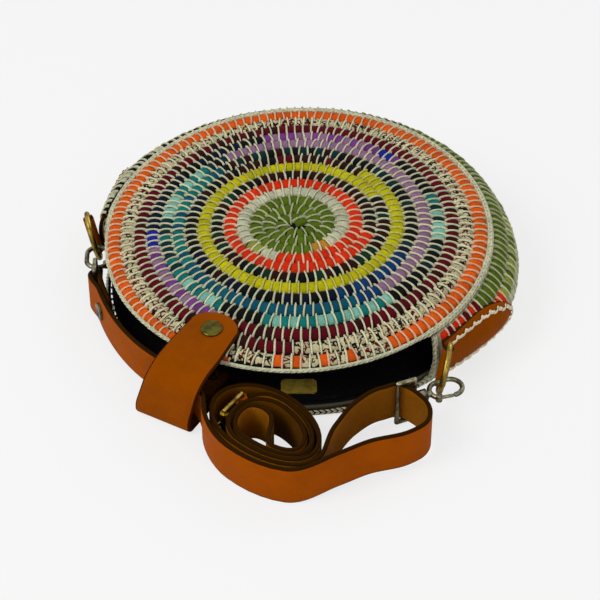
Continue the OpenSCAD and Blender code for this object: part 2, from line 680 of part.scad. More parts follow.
tab_shank_r = 1.5;
tab_head_r = 4;
tab_head_t = 1.2;
tab_rivet_u = tab_in_u + 6;
tab_rivet_half = 9;
module tab_rivet_places() {
    for (s = [-1, 1]) translate([tab_foot_x + s * tab_rivet_half, -tab_rivet_u, 0]) children();
}
module closure_tab() {
    color("peru") difference() {
        wall(tab_side(tab_t / 2), tab_side(-tab_t / 2));
        tab_rivet_places() cylinder(h = rim_h / 2, r = tab_shank_r + pin_gap);
    }
}
module closure_flap() {
    straight = tip_w / 2;
    near = -tab_split + tab_slit / 2;
    tip_y = -flap_tip;
    shoulder_y = tip_y - straight * tip_round_share;
    outline = concat([[-crest_w / 2, near], [crest_w / 2, near]],
        [for (a = [0:15:180]) [straight * cos(a), shoulder_y + (tip_y - shoulder_y) * sin(a)]]);
    color("peru") front_frame() difference() {
        translate([snap_x, 0, flap_low]) linear_extrude(tab_t) polygon(outline);
        snap_at() cylinder(h = rim_h, r = cap_post_r + pin_gap);
    }
}
tip_round_share = 0.75;
module tab_rivets() {
    color("goldenrod") tab_rivet_places() {
        translate([0, 0, back_wall - shank_depth + pin_gap])
            cylinder(h = tab_in_z + tab_t / 2 + tab_head_t / 2 - back_wall + shank_depth, r = tab_shank_r);
        translate([0, 0, tab_in_z + tab_t / 2]) cylinder(h = tab_head_t, r = tab_head_r);
    }
}
shank_depth = 2.5;

// Snap, in the front panel's frame
snap_floor = dome_z(snap_reach);
socket_h = 1.6;
socket_r = cap_r;
socket_hole_r = 3.6;
snap_pocket_r = socket_r + 0.5;
stud_r = 3.2;
flange_r = 5;
flange_t = 1;
cap_t = 1.3;
cap_bevel = 0.4;
cap_post_r = 1.4;
module snap_at() { translate([snap_x, -snap_reach, 0]) children(); }
module snap_cap() {
    color("goldenrod") front_frame() snap_at() {
        translate([0, 0, flap_top]) {
            cylinder(h = cap_t - cap_bevel, r = cap_r);
            translate([0, 0, cap_t - cap_bevel]) cylinder(h = cap_bevel, r1 = cap_r, r2 = cap_r - cap_bevel);
        }
        translate([0, 0, flap_low]) cylinder(h = tab_t + cap_t / 2, r = cap_post_r);
    }
}
module snap_socket() {
    color("goldenrod") front_frame() snap_at() translate([0, 0, flap_low - socket_h]) difference() {
        cylinder(h = socket_h, r = socket_r);
        translate([0, 0, -cut_over]) cylinder(h = socket_h + 2 * cut_over, r = socket_hole_r);
    }
}
module snap_stud() {
    color("goldenrod") front_frame() snap_at() translate([0, 0, snap_floor]) {
        cylinder(h = flange_t, r = flange_r);
        cylinder(h = flap_low - snap_floor - pin_gap, r = stud_r);
    }
}

// Label plate on the back lining
plate_a = -60;
plate_reach = lining_r - 10.9;
plate_corner = 1.6;
plate_z = lining_top;
plate_shank_r = 0.7;
plate_head_r = 1.3;
plate_head_t = 0.6;
plate_rivet_in = 2.6;
module plate_frame() { rotate([0, 0, plate_a]) translate([plate_reach, 0, 0]) rotate([0, 0, 90]) children(); }
module plate_rivet_places() {
    plate_frame() for (s = [-1, 1]) translate([s * (plate_len / 2 - plate_rivet_in), 0, 0]) children();
}
module label_plate() {
    x = plate_len / 2;
    y = plate_w / 2;
    c = plate_corner;
    color("goldenrod") difference() {
        plate_frame() translate([0, 0, plate_z]) linear_extrude(plate_t) polygon([[c - x, -y], [x - c, -y],
            [x, c - y], [x, y - c], [x - c, y], [c - x, y], [-x, y - c], [-x, c - y]]);
        plate_rivet_places() cylinder(h = rim_h, r = plate_shank_r + pin_gap);
    }
}
module plate_rivets() {
    low = back_wall - shank_depth + pin_gap;
    color("goldenrod") plate_rivet_places() {
        translate([0, 0, low]) cylinder(h = plate_z + plate_t + plate_head_t / 2 - low, r = plate_shank_r);
        translate([0, 0, plate_z + plate_t]) cylinder(h = plate_head_t, r = plate_head_r);
    }
}
module inner_holes() {
    tab_rivet_places() cylinder(h = rim_h, r = tab_shank_r + pin_gap);
    plate_rivet_places() cylinder(h = rim_h, r = plate_shank_r + pin_gap);
}

front_panel();
back_panel();
gusset();
front_edge();
back_edge();
left_end_edge();
right_end_edge();
front_lining();
back_lining();
gusset_lining();
left_patch();
right_patch();
left_ring_loop();
right_ring_loop();
left_d_ring();
right_d_ring();
left_hook_base();
right_hook_base();
left_hook();
right_hook();
left_gate();
right_gate();
left_gate_pin();
right_gate_pin();
shoulder_strap();
strap_roll();
strap_rivet();
buckle_frame();
buckle_roller();
buckle_prong();
closure_tab();
closure_flap();
tab_rivets();
snap_cap();
snap_socket();
snap_stud();
label_plate();
plate_rivets();
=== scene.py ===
"""Circle bag: a round bag of coiled crochet with tan leather fittings.

It lies on its back panel in a white studio. Lengths are written in millimetres and turned into metres where a
mesh is made. Every piece stands in the CAD's frame: +Z is up and the open mouth faces -Y.
"""

from __future__ import annotations

import json
import logging
import math
from dataclasses import dataclass
from enum import Enum, IntEnum
from typing import Iterable, Sequence

import bmesh
import bpy
import numpy as np
from bpy.types import Material, Node, NodeSocket, NodeTree, Object
from mathutils import Matrix, Vector

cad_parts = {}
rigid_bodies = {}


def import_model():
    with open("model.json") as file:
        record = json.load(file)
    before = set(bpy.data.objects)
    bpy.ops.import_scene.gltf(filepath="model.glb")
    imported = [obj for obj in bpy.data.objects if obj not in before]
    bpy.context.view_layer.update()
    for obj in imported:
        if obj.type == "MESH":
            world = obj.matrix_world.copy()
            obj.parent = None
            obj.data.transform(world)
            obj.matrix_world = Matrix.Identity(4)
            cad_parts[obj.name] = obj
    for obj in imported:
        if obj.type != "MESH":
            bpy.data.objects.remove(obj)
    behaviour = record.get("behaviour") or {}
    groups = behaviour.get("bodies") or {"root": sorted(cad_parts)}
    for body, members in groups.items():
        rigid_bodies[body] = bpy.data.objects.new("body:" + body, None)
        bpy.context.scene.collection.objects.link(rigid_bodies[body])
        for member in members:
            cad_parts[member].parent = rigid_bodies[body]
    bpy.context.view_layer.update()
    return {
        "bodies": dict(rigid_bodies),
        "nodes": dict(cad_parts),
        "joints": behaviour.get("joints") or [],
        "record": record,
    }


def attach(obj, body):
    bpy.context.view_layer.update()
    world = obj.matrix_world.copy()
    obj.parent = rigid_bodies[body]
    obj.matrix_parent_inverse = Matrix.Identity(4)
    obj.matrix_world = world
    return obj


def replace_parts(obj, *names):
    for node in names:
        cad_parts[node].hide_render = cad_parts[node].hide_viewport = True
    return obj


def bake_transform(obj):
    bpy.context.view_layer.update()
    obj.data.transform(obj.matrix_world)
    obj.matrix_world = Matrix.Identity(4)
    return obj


LOG = logging.getLogger("circle_bag")
MM = 0.001
Array = np.ndarray
Pair = tuple[float, float]
Rgb = tuple[float, float, float]


# Colours.


def srgb(red: int, green: int, blue: int) -> Rgb:
    """Turns a colour as seen on a screen into the linear one that the shaders use.

    Args:
        red: Red from 0 to 255.
        green: Green from 0 to 255.
        blue: Blue from 0 to 255.

    Returns:
        The three linear values.
    """

    def linear(value: int) -> float:
        """The linear value of one channel."""
        share = value / 255
        return share / 12.92 if share <= 0.04045 else ((share + 0.055) / 1.055) ** 2.4

    return linear(red), linear(green), linear(blue)


class Yarn(Enum):
    """Cord colours of the crochet."""

    OLIVE = srgb(84, 106, 18)
    GREY_CREAM = srgb(192, 192, 164)
    MUSTARD = srgb(196, 138, 50)
    RED = srgb(216, 46, 10)
    BROWN = srgb(42, 12, 8)
    BLACK = srgb(6, 8, 9)
    DEEP_GREEN = srgb(10, 46, 30)
    YELLOW = srgb(186, 180, 8)
    NAVY = srgb(8, 16, 40)
    BLUE = srgb(12, 54, 104)
    BRIGHT_BLUE = srgb(26, 40, 150)
    LILAC = srgb(142, 106, 136)
    PURPLE = srgb(118, 58, 132)
    TEAL = srgb(16, 112, 108)
    SEA_BLUE = srgb(10, 80, 100)
    DARK_TEAL = srgb(8, 44, 48)
    MINT = srgb(126, 184, 166)
    MAROON = srgb(88, 6, 22)
    PRINT = srgb(198, 188, 150)
    ORANGE = srgb(222, 90, 16)
    LIME = srgb(140, 150, 62)


THREAD = srgb(232, 230, 192)
THREAD_SHARES = {
    Yarn.YELLOW: 0.22, Yarn.OLIVE: 0.48, Yarn.RED: 0.62, Yarn.ORANGE: 0.55, Yarn.GREY_CREAM: 0.35,
}
THREAD_SHARE = 0.76


def thread_tint(yarn: Yarn) -> Array:
    """Colour of the cream thread over a cord, a little stained by it."""
    share = THREAD_SHARES.get(yarn, THREAD_SHARE)
    return np.array(yarn.value) * (1 - share) + np.array(THREAD) * share


# Sizes.


@dataclass(frozen=True)
class BodySize:
    """The crochet body's sizes and surfaces, in millimetres.

    Attributes:
        rim_r: Radius of the rim, to the middle of the edging.
        rim_h: Height of the front rim at the bag's axis.
        tilt: Lean of the front panel, in degrees.
        dome: Rise of the front panel's middle above its rim.
        rows: Number of rows in a panel.
        relief: Depth of the groove between two rows.
        front_wall: Thickness of the front panel in its grooves.
        back_wall: Height of the back panel.
        edge_r: Radius of the edging.
        mouth: Angle without a gusset, in degrees.
        gusset_wall: Thickness of the gusset halfway up.
        gusset_rows: Number of rows in the gusset; not used.
        mid_bulge: Swell of the gusset at the far side.
        end_bulge: Swell of the gusset at its ends.
        bulge_run: Angle over which the swell grows, in degrees.
        seam: Gap between two sewn parts.
    """

    rim_r: float = 112.0
    rim_h: float = 39.3
    tilt: float = 4.0
    dome: float = 8.0
    rows: int = 14
    relief: float = 1.6
    front_wall: float = 4.5
    back_wall: float = 6.0
    edge_r: float = 2.0
    mouth: float = 145.0
    gusset_wall: float = 5.5
    gusset_rows: int = 5
    mid_bulge: float = 12.6
    end_bulge: float = 2.6
    bulge_run: float = 24.0
    seam: float = 0.3

    @property
    def panel_r(self) -> float:
        """Radius of the coiled panels."""
        return self.rim_r - self.edge_r - self.seam

    @property
    def lining_r(self) -> float:
        """Radius of the linings."""
        return self.panel_r - self.edge_r

    @property
    def gusset_from(self) -> float:
        """Angle of the gusset's right end, in degrees."""
        return -90 + self.mouth / 2

    @property
    def gusset_to(self) -> float:
        """Angle of the gusset's left end, in degrees."""
        return 270 - self.mouth / 2

    def dome_z(self, r: Array | float) -> Array | float:
        """Height of the front panel's grooves above its rim plane, at radius r."""
        return self.dome * (1 - (r / self.rim_r) ** 2)

    def front(self, points: Array) -> Array:
        """Moves points from the front panel's own frame to the bag's.

        Args:
            points: Array of points (..., 3).

        Returns:
            The points in the bag's frame.
        """
        lean = math.radians(self.tilt)
        out = np.array(points, float)
        y, z = out[..., 1].copy(), out[..., 2].copy()
        out[..., 1] = y * math.cos(lean) - z * math.sin(lean)
        out[..., 2] = y * math.sin(lean) + z * math.cos(lean) + self.rim_h
        return out

    def bulge(self, angle: Array | float) -> Array | float:
        """Swell of the gusset halfway up, at an angle in degrees."""
        near = np.minimum(angle - self.gusset_from, self.gusset_to - angle) / self.bulge_run
        return self.end_bulge + (self.mid_bulge - self.end_bulge) * ease(near)

    def gusset_low(self) -> float:
        """Height of the gusset's lower edge."""
        return 2 * self.edge_r + self.seam

    def gusset_high(self, angle: Array | float) -> Array | float:
        """Height of the gusset's upper edge, at an angle in degrees."""
        y = self.rim_r * np.sin(np.radians(angle))
        return self.rim_h + y * math.tan(math.radians(self.tilt)) - self.edge_r - self.seam

    def gusset(self, angle: Array, share: Array, skin: float, lift: float = 0.0) -> Array:
        """Points on the gusset.

        Args:
            angle: Angles round the bag, in degrees.
            share: Height from 0, the lower edge, to 1, the upper edge.
            skin: 1 for the outer face in its grooves, -1 for the inner face, 0 for the middle.
            lift: Extra distance outwards.

        Returns:
            The points in the bag's frame.
        """
        angle, share = np.broadcast_arrays(np.asarray(angle, float), np.asarray(share, float))
        arch = np.sin(np.pi * np.clip(share, 0, 1))
        half = self.edge_r + (self.gusset_wall / 2 - self.edge_r) * arch
        r = self.rim_r + self.bulge(angle) * arch + skin * half + lift
        z = self.gusset_low() + share * (self.gusset_high(angle) - self.gusset_low())
        a = np.radians(angle)
        return np.stack([r * np.cos(a), r * np.sin(a), z], -1)


def ease(t: Array | float) -> Array | float:
    """A smooth step from 0 to 1."""
    c = np.clip(t, 0, 1)
    return c * c * (3 - 2 * c)


def unit(v: Array) -> Array:
    """Vectors of length 1 along the last axis."""
    return v / np.maximum(np.linalg.norm(v, axis=-1, keepdims=True), 1e-12)


# Meshes.


def make_piece(
    name: str,
    points: Array,
    faces: Iterable[Sequence[int]],
    materials: Sequence[Material] = (),
    slots: Sequence[int] | None = None,
    closed: bool = True,
) -> Object:
    """Makes a mesh object from points in millimetres.

    Args:
        name: Name of the piece.
        points: Array of points (n, 3).
        faces: Vertex numbers of each face.
        materials: The piece's materials, in order.
        slots: Number of the material of each face, or None for the first.
        closed: True if the mesh is closed, so that its normals can be turned outwards.

    Returns:
        The object, at the origin and linked to the scene.
    """
    mesh = bpy.data.meshes.new(name)
    mesh.from_pydata((np.asarray(points, float).reshape(-1, 3) * MM).tolist(), [], [tuple(f) for f in faces])
    for material in materials:
        mesh.materials.append(material)
    if slots is not None:
        mesh.polygons.foreach_set("material_index", np.asarray(slots, np.int32))
    if closed:
        shell = bmesh.new()
        shell.from_mesh(mesh)
        bmesh.ops.recalc_face_normals(shell, faces=shell.faces)
        shell.to_mesh(mesh)
        shell.free()
    mesh.shade_smooth()
    mesh.update()
    piece = bpy.data.objects.new(name, mesh)
    bpy.context.scene.collection.objects.link(piece)
    return piece


def grid_faces(rows: int, columns: int, round_rows: bool = False, round_columns: bool = False) -> list[tuple]:
    """Faces of a grid of points, stored row by row.

    Args:
        rows: Number of rows of points.
        columns: Number of points in a row.
        round_rows: True if the last row joins the first.
        round_columns: True if each row's last point joins its first.

    Returns:
        The four vertex numbers of each face.
    """
    faces = []
    for i in range(rows if round_rows else rows - 1):
        for j in range(columns if round_columns else columns - 1):
            e, f = (i + 1) % rows, (j + 1) % columns
            faces.append((i * columns + j, i * columns + f, e * columns + f, e * columns + j))
    return faces


def between(outer: Array, inner: Array) -> tuple[Array, list[tuple]]:
    """A closed solid between two grids of points of the same shape.

    Args:
        outer: Grid of points (rows, columns, 3).
        inner: The grid of the other side.

    Returns:
        The solid's points and faces.
    """
    rows, columns = outer.shape[:2]
    n = rows * columns
    faces = grid_faces(rows, columns)
    faces += [tuple(n + k for k in reversed(f)) for f in faces]
    ring = [*range(columns), *[i * columns + columns - 1 for i in range(1, rows)]]
    ring += [(rows - 1) * columns + j for j in range(columns - 2, -1, -1)]
    ring += [i * columns for i in range(rows - 2, 0, -1)]
    faces += [(a, n + a, n + b, b) for a, b in zip(ring, ring[1:] + ring[:1])]
    return np.concatenate([outer.reshape(-1, 3), inner.reshape(-1, 3)]), faces


def lathe(profile: Array, steps: int) -> tuple[Array, list[tuple]]:
    """A solid of revolution about Z.

    Args:
        profile: Closed outline as (radius, height) pairs, starting and ending near the axis.
        steps: Number of steps round the axis.

    Returns:
        The solid's points and faces.
    """
    turn = 2 * np.pi * np.arange(steps) / steps
    r, z = profile[:, 0], profile[:, 1]
    points = np.stack([np.outer(np.cos(turn), r), np.outer(np.sin(turn), r), np.tile(z, (steps, 1))], -1)
    return points.reshape(-1, 3), grid_faces(steps, len(profile), round_rows=True, round_columns=True)


def ride_bag(piece: Object, *nodes: str, body: str = "bag") -> Object:
    """Lets a piece ride on a body and stand for CAD nodes.

    Args:
        piece: The piece.
        *nodes: CAD nodes that the piece stands for.
        body: The body that it rides on.

    Returns:
        The piece.
    """
    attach(piece, body)
    if nodes:
        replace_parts(piece, *nodes)
    return piece


# Node trees.

FLOAT, COLOUR, VECTOR = "NodeSocketFloat", "NodeSocketColor", "NodeSocketVector"
WHITE, BLACK = (1, 1, 1, 1), (0, 0, 0, 1)
MIX_SHARE, MIX_FIRST, MIX_SECOND, MIX_RESULT = 0, 6, 7, 2


class Shader:
    """A short way to write a node tree."""

    def __init__(self, tree: NodeTree) -> None:
        """Starts writing in a tree."""
        self.tree = tree

    def node(self, kind: str, **settings: object) -> Node:
        """Adds a node.

        Args:
            kind: The node's type.
            **settings: Properties to set on it.

        Returns:
            The node.
        """
        made = self.tree.nodes.new(kind)
        for key, value in settings.items():
            setattr(made, key, value)
        return made

    def link(self, source: NodeSocket, target: NodeSocket) -> None:
        """Links two sockets."""
        self.tree.links.new(source, target)

    def feed(self, target: NodeSocket, value: object) -> None:
        """Gives a socket a link, a number or a colour of three values."""
        if isinstance(value, NodeSocket):
            self.link(value, target)
        else:
            target.default_value = (*value, 1) if target.type == "RGBA" else value

    def feed_all(self, node: Node, values: dict[str, object]) -> None:
        """Feeds several of a node's inputs, by name."""
        for name, value in values.items():
            self.feed(node.inputs[name], value)

    def maths(self, operation: str, *values: object, clamp: bool = False) -> NodeSocket:
        """Adds a maths node.

        Args:
            operation: What it does.
            *values: Its inputs, as sockets or numbers.
            clamp: True to keep the result from 0 to 1.

        Returns:
            Its output.
        """
        made = self.node("ShaderNodeMath", operation=operation, use_clamp=clamp)
        for socket, value in zip(made.inputs, values):
            self.feed(socket, value)
        return made.outputs[0]

    def ramp(self, value: object, low: float, high: float) -> NodeSocket:
        """A smooth 0 to 1 as value goes from low to high."""
        made = self.node("ShaderNodeMapRange", interpolation_type="SMOOTHSTEP")
        self.feed_all(made, {"Value": value, "From Min": low, "From Max": high})
        return made.outputs["Result"]

    def mix(self, share: object, first: object, second: object, blend: str = "MIX") -> NodeSocket:
        """Mixes two colours.

        Args:
            share: How much of the second, as a socket or number.
            first: The first colour.
            second: The second colour.
            blend: The way they mix.

        Returns:
            The mixed colour.
        """
        made = self.node("ShaderNodeMix", data_type="RGBA", blend_type=blend)
        for number, value in ((MIX_SHARE, share), (MIX_FIRST, first), (MIX_SECOND, second)):
            self.feed(made.inputs[number], value)
        return made.outputs[MIX_RESULT]

    def place(self) -> NodeSocket:
        """Object coordinates."""
        return self.node("ShaderNodeTexCoord").outputs["Object"]

    def noise(self, where: NodeSocket, scale: float, detail: float = 2.0) -> NodeSocket:
        """A noise value at a place."""
        made = self.node("ShaderNodeTexNoise")
        self.feed_all(made, {"Vector": where, "Scale": scale, "Detail": detail})
        return made.outputs["Fac"]

    def shaded(self, tint: NodeSocket, shade: NodeSocket) -> NodeSocket:
        """A colour, made darker or lighter by a value."""
        grey = self.node("ShaderNodeCombineColor")
        for socket in grey.inputs:
            self.link(shade, socket)
        return self.mix(1.0, tint, grey.outputs[0], "MULTIPLY")

    def bump(self, height: NodeSocket, strength: object, depth: float) -> NodeSocket:
        """Normals of a relief that is depth metres deep."""
        made = self.node("ShaderNodeBump")
        self.feed_all(made, {"Height": height, "Strength": strength, "Distance": depth})
        return made.outputs["Normal"]

    def group(self, tree: NodeTree, values: dict[str, object]) -> bpy.types.NodeOutputs:
        """Adds a node group with its values, and gives its outputs."""
        made = self.node("ShaderNodeGroup", node_tree=tree)
        self.feed_all(made, values)
        return made.outputs


def start_group(name: str, inputs: dict[str, object]) -> tuple[Shader, bpy.types.NodeOutputs]:
    """Starts a shader node group.

    Args:
        name: Name of the group.
        inputs: Name and default of each input, a colour of four values or a number.

    Returns:
        The group's writer, and the sockets of its inputs.
    """
    w = Shader(bpy.data.node_groups.new(name, "ShaderNodeTree"))
    for label, default in inputs.items():
        kind = COLOUR if isinstance(default, tuple) else FLOAT
        w.tree.interface.new_socket(name=label, in_out="INPUT", socket_type=kind).default_value = default
    return w, w.node("NodeGroupInput").outputs


def end_group(w: Shader, results: dict[str, NodeSocket]) -> NodeTree:
    """Gives a shader node group its outputs.

    Args:
        w: The group's writer.
        results: Name and value of each output.

    Returns:
        The group.
    """
    kinds = {"Colour": COLOUR, "Normal": VECTOR}
    for label in results:
        w.tree.interface.new_socket(name=label, in_out="OUTPUT", socket_type=kinds.get(label, FLOAT))
    w.feed_all(w.node("NodeGroupOutput"), results)
    return w.tree


class Effects:
    """The shared effects: each is one group that varies colour, masks and normals only."""

    def __init__(self) -> None:
        """Builds the groups."""
        self.fuzz_and_shade = self._fuzz_and_shade()
        self.pores = self._pores()
        self.patina = self._patina()
        self.weave = self._weave()
        self.print_marks = self._print_marks()

    @staticmethod
    def _fuzz_and_shade() -> NodeTree:
        """Knitted surface of a cord: fine ribs, fibres, a little dirt, and painted shade and light that
        follow the knit's relief.
        """
        w, given = start_group("Cord fuzz", {"Tint": WHITE, "Strength": 0.5})
        place = w.place()
        fine = w.noise(place, 2600.0, 3.0)
        loops = w.noise(place, 900.0)
        dirt = w.maths("MULTIPLY_ADD", w.noise(place, 90.0), 0.5, 0.75)
        # The loops that raise the relief also set the colour, darker in its low spots and lighter on its high
        # ones: painted shade and light.
        shade = w.maths("MULTIPLY", w.maths("MULTIPLY_ADD", loops, 0.9, 0.55), dirt)
        height = w.maths("ADD", loops, w.maths("MULTIPLY", fine, 0.5))
        return end_group(w, {
            "Colour": w.shaded(given["Tint"], shade),
            "Normal": w.bump(height, given["Strength"], 0.0006),
        })

    @staticmethod
    def _print_marks() -> NodeTree:
        """Printed cloth: short dark strokes that form no figure."""
        w, given = start_group("Print marks", {"Tint": WHITE, "Share": 0.0})
        place = w.place()
        wander = w.maths("ABSOLUTE", w.maths("SUBTRACT", w.noise(place, 330.0, 1.0), 0.5))
        strokes = w.ramp(wander, 0.085, 0.06)
        keep = w.ramp(w.noise(place, 240.0, 1.0), 0.40, 0.44)
        amount = w.maths("MULTIPLY", w.maths("MULTIPLY", strokes, keep), given["Share"])
        ink = w.mix(w.ramp(w.noise(place, 120.0, 0.0), 0.45, 0.6), srgb(16, 14, 16), srgb(88, 20, 20))
        return end_group(w, {"Colour": w.mix(amount, given["Tint"], ink)})

    @staticmethod
    def _pores() -> NodeTree:
        """Leather grain: pores, soft mottling and scuffs."""
        w, given = start_group("Leather grain", {"Tint": WHITE, "Depth": 0.3, "Mottle": 0.4})
        place = w.place()
        cells = w.node("ShaderNodeTexVoronoi", feature="SMOOTH_F1")
        w.feed_all(cells, {"Vector": place, "Scale": 1500.0})
        broad, scuffs = w.noise(place, 28.0, 4.0), w.noise(place, 160.0, 3.0)
        spread = w.maths("MULTIPLY", w.maths("SUBTRACT", broad, 0.5), given["Mottle"])
        spread = w.maths("ADD", spread, w.maths("MULTIPLY", w.maths("SUBTRACT", scuffs, 0.5), 0.18))
        shade = w.maths("ADD", w.maths("MULTIPLY", spread, 1.6), 1.0)
        height = w.maths("ADD", cells.outputs["Distance"], scuffs)
        return end_group(w, {
            "Colour": w.shaded(given["Tint"], shade),
            "Normal": w.bump(height, given["Depth"], 0.0004),
            "Gloss": w.ramp(scuffs, 0.35, 0.7),
        })

    @staticmethod
    def _patina() -> NodeTree:
        """Wear on metal: darker tarnish in soft patches, and fine scratches."""
        w, given = start_group("Metal patina", {"Clean": WHITE, "Tarnish": BLACK, "Amount": 0.5})
        place = w.place()
        patch, scratch = w.noise(place, 210.0, 4.0), w.noise(place, 1800.0)
        mask = w.ramp(w.maths("MULTIPLY_ADD", scratch, 0.25, patch), 0.45, 0.85)
        mask = w.maths("MULTIPLY", mask, given["Amount"], clamp=True)
        height = w.maths("ADD", patch, w.maths("MULTIPLY", scratch, 0.3))
        return end_group(w, {
            "Colour": w.mix(mask, given["Clean"], given["Tarnish"]),
            "Rough": w.maths("MULTIPLY_ADD", mask, 0.35, 0.22),
            "Normal": w.bump(height, 0.25, 0.0002),
        })

    @staticmethod
    def _weave() -> NodeTree:
        """Plain woven cloth: two crossed sets of threads, and lint."""
        w, given = start_group("Lining weave", {"Tint": WHITE, "Lint": (0.2, 0.2, 0.2, 1)})
        place = w.place()
        threads = []
        for direction in ("X", "Y"):
            wave = w.node("ShaderNodeTexWave", bands_direction=direction)
            w.feed_all(wave, {"Vector": place, "Scale": 520.0, "Distortion": 1.0})
            threads.append(wave.outputs["Fac"])
        lint = w.ramp(w.noise(place, 700.0), 0.66, 0.74)
        return end_group(w, {
            "Colour": w.mix(lint, given["Tint"], given["Lint"]),
            "Normal": w.bump(w.maths("ADD", *threads), 0.4, 0.0003),
        })


def new_material(name: str) -> tuple[Material, Shader, Node]:
    """Makes a material with its shader alone.

    Args:
        name: Name of the material.

    Returns:
        The material, its writer and its shader node.
    """
    material = bpy.data.materials.new(name)
    material.use_nodes = True
    return material, Shader(material.node_tree), material.node_tree.nodes["Principled BSDF"]


@dataclass(frozen=True)
class CordFinish:
    """Crochet cord or thread, coloured by each stitch's own tint.

    Attributes:
        name: Name of the material.
        depth: Strength of the knitted relief.
        rough: Roughness.
        gloss: Strength of its reflections.
    """

    name: str
    depth: float
    rough: float = 0.92
    gloss: float = 0.12

    def material(self, effects: Effects) -> Material:
        """Makes the material."""
        made, w, shader = new_material(self.name)
        tint = w.node("ShaderNodeAttribute", attribute_name="tint").outputs["Color"]
        marks = w.node("ShaderNodeAttribute", attribute_name="marks").outputs["Fac"]
        printed = w.group(effects.print_marks, {"Tint": tint, "Share": marks})
        fuzz_and_shade = w.group(effects.fuzz_and_shade, {"Tint": printed["Colour"], "Strength": self.depth})
        w.feed_all(shader, {
            "Base Color": fuzz_and_shade["Colour"],
            "Normal": fuzz_and_shade["Normal"],
            "Roughness": self.rough,
            "Specular IOR Level": self.gloss,
        })
        return made


@dataclass(frozen=True)
class LeatherFinish:
    """Leather: grain face, flesh face or cut edge.

    Attributes:
        name: Name of the material.
        tint: Base colour.
        rough: Roughness, from which the grain takes and gives a little.
        depth: Depth of the grain.
        mottle: Strength of the broad mottling.
        sheen: Colour of its reflections.
        gloss: Strength of its reflections.
    """

    name: str
    tint: Rgb
    rough: float
    depth: float = 0.3
    mottle: float = 0.35
    sheen: Rgb = (0.95, 0.42, 0.05)
    gloss: float = 0.05

    def material(self, effects: Effects) -> Material:
        """Makes the material."""
        shiny, scuffed = -0.1, 0.16
        made, w, shader = new_material(self.name)
        grain = w.group(effects.pores, {"Tint": self.tint, "Depth": self.depth, "Mottle": self.mottle})
        w.feed_all(shader, {
            "Base Color": grain["Colour"],
            "Normal": grain["Normal"],
            "Roughness": w.maths("MULTIPLY_ADD", grain["Gloss"], scuffed, self.rough + shiny),
            "Specular IOR Level": self.gloss,
            "Specular Tint": self.sheen,
        })
        return made


@dataclass(frozen=True)
class MetalFinish:
    """Worn metal.

    Attributes:
        name: Name of the material.
        clean: Colour of the bright metal.
        tarnish: Colour of the tarnish.
        amount: How much of it is tarnished.
        metallic: How far it reflects as bare metal.
    """

    name: str
    clean: Rgb
    tarnish: Rgb
    amount: float
    metallic: float = 1.0

    def material(self, effects: Effects) -> Material:
        """Makes the material."""
        made, w, shader = new_material(self.name)
        worn = w.group(effects.patina, {"Clean": self.clean, "Tarnish": self.tarnish, "Amount": self.amount})
        w.feed_all(shader, {
            "Base Color": worn["Colour"],
            "Roughness": worn["Rough"],
            "Normal": worn["Normal"],
            "Metallic": self.metallic,
        })
        return made


@dataclass(frozen=True)
class ClothFinish:
    """Woven lining cloth.

    Attributes:
        name: Name of the material.
        tint: Base colour.
        lint: Colour of the lint on it.
        rough: Roughness.
        gloss: Strength of its reflections.
    """

    name: str
    tint: Rgb
    lint: Rgb
    rough: float = 0.95
    gloss: float = 0.1

    def material(self, effects: Effects) -> Material:
        """Makes the material."""
        made, w, shader = new_material(self.name)
        weave = w.group(effects.weave, {"Tint": self.tint, "Lint": self.lint})
        w.feed_all(shader, {
            "Base Color": weave["Colour"],
            "Normal": weave["Normal"],
            "Roughness": self.rough,
            "Specular IOR Level": self.gloss,
        })
        return made


class Finishes:
    """Every material of the bag."""

    def __init__(self) -> None:
        """Makes the materials."""
        effects = Effects()
        tan, belt = "Tan leather", "Strap leather"
        self.cord = CordFinish("Crochet cord", depth=0.55).material(effects)
        self.thread = CordFinish("Crochet thread", depth=0.4).material(effects)
        (
            self.tan, self.tan_flesh, self.tan_edge,
            self.strap, self.strap_flesh, self.strap_edge, self.strap_rolled,
        ) = (
            leather.material(effects)
            for leather in (
                LeatherFinish(tan, srgb(144, 69, 0), rough=0.55),
                LeatherFinish(f"{tan}, flesh side", srgb(84, 46, 8), rough=0.85, depth=0.8),
                LeatherFinish(f"{tan}, cut edge", srgb(62, 28, 6), rough=0.7, depth=0.6),
                LeatherFinish(belt, srgb(166, 78, 0), rough=0.6),
                LeatherFinish(f"{belt}, flesh side", srgb(146, 90, 14), rough=0.66, depth=0.7, mottle=0.6),
                LeatherFinish(f"{belt}, cut edge", srgb(44, 24, 3), rough=0.7, depth=0.6),
                # The grain face inside the roll is darker: painted shade.
                LeatherFinish(f"{belt}, painted roll shade", srgb(98, 60, 5), rough=0.5, depth=0.4, mottle=0.8),
            )
        )
        self.brass, self.plate, self.old_brass, self.dark_steel = (
            metal.material(effects)
            for metal in (
                MetalFinish("Brass", srgb(172, 146, 66), srgb(64, 50, 16), amount=0.85),
                MetalFinish(
                    "Lacquered brass", srgb(214, 186, 76), srgb(126, 104, 34), amount=0.7, metallic=0.25
                ),
                MetalFinish("Antique brass", srgb(104, 98, 40), srgb(48, 42, 14), amount=0.8),
                MetalFinish("Dark steel", srgb(146, 140, 112), srgb(22, 20, 14), amount=0.95),
            )
        )
        self.lining = ClothFinish("Lining cloth", srgb(9, 9, 10), srgb(58, 58, 62)).material(effects)


# Stitches.


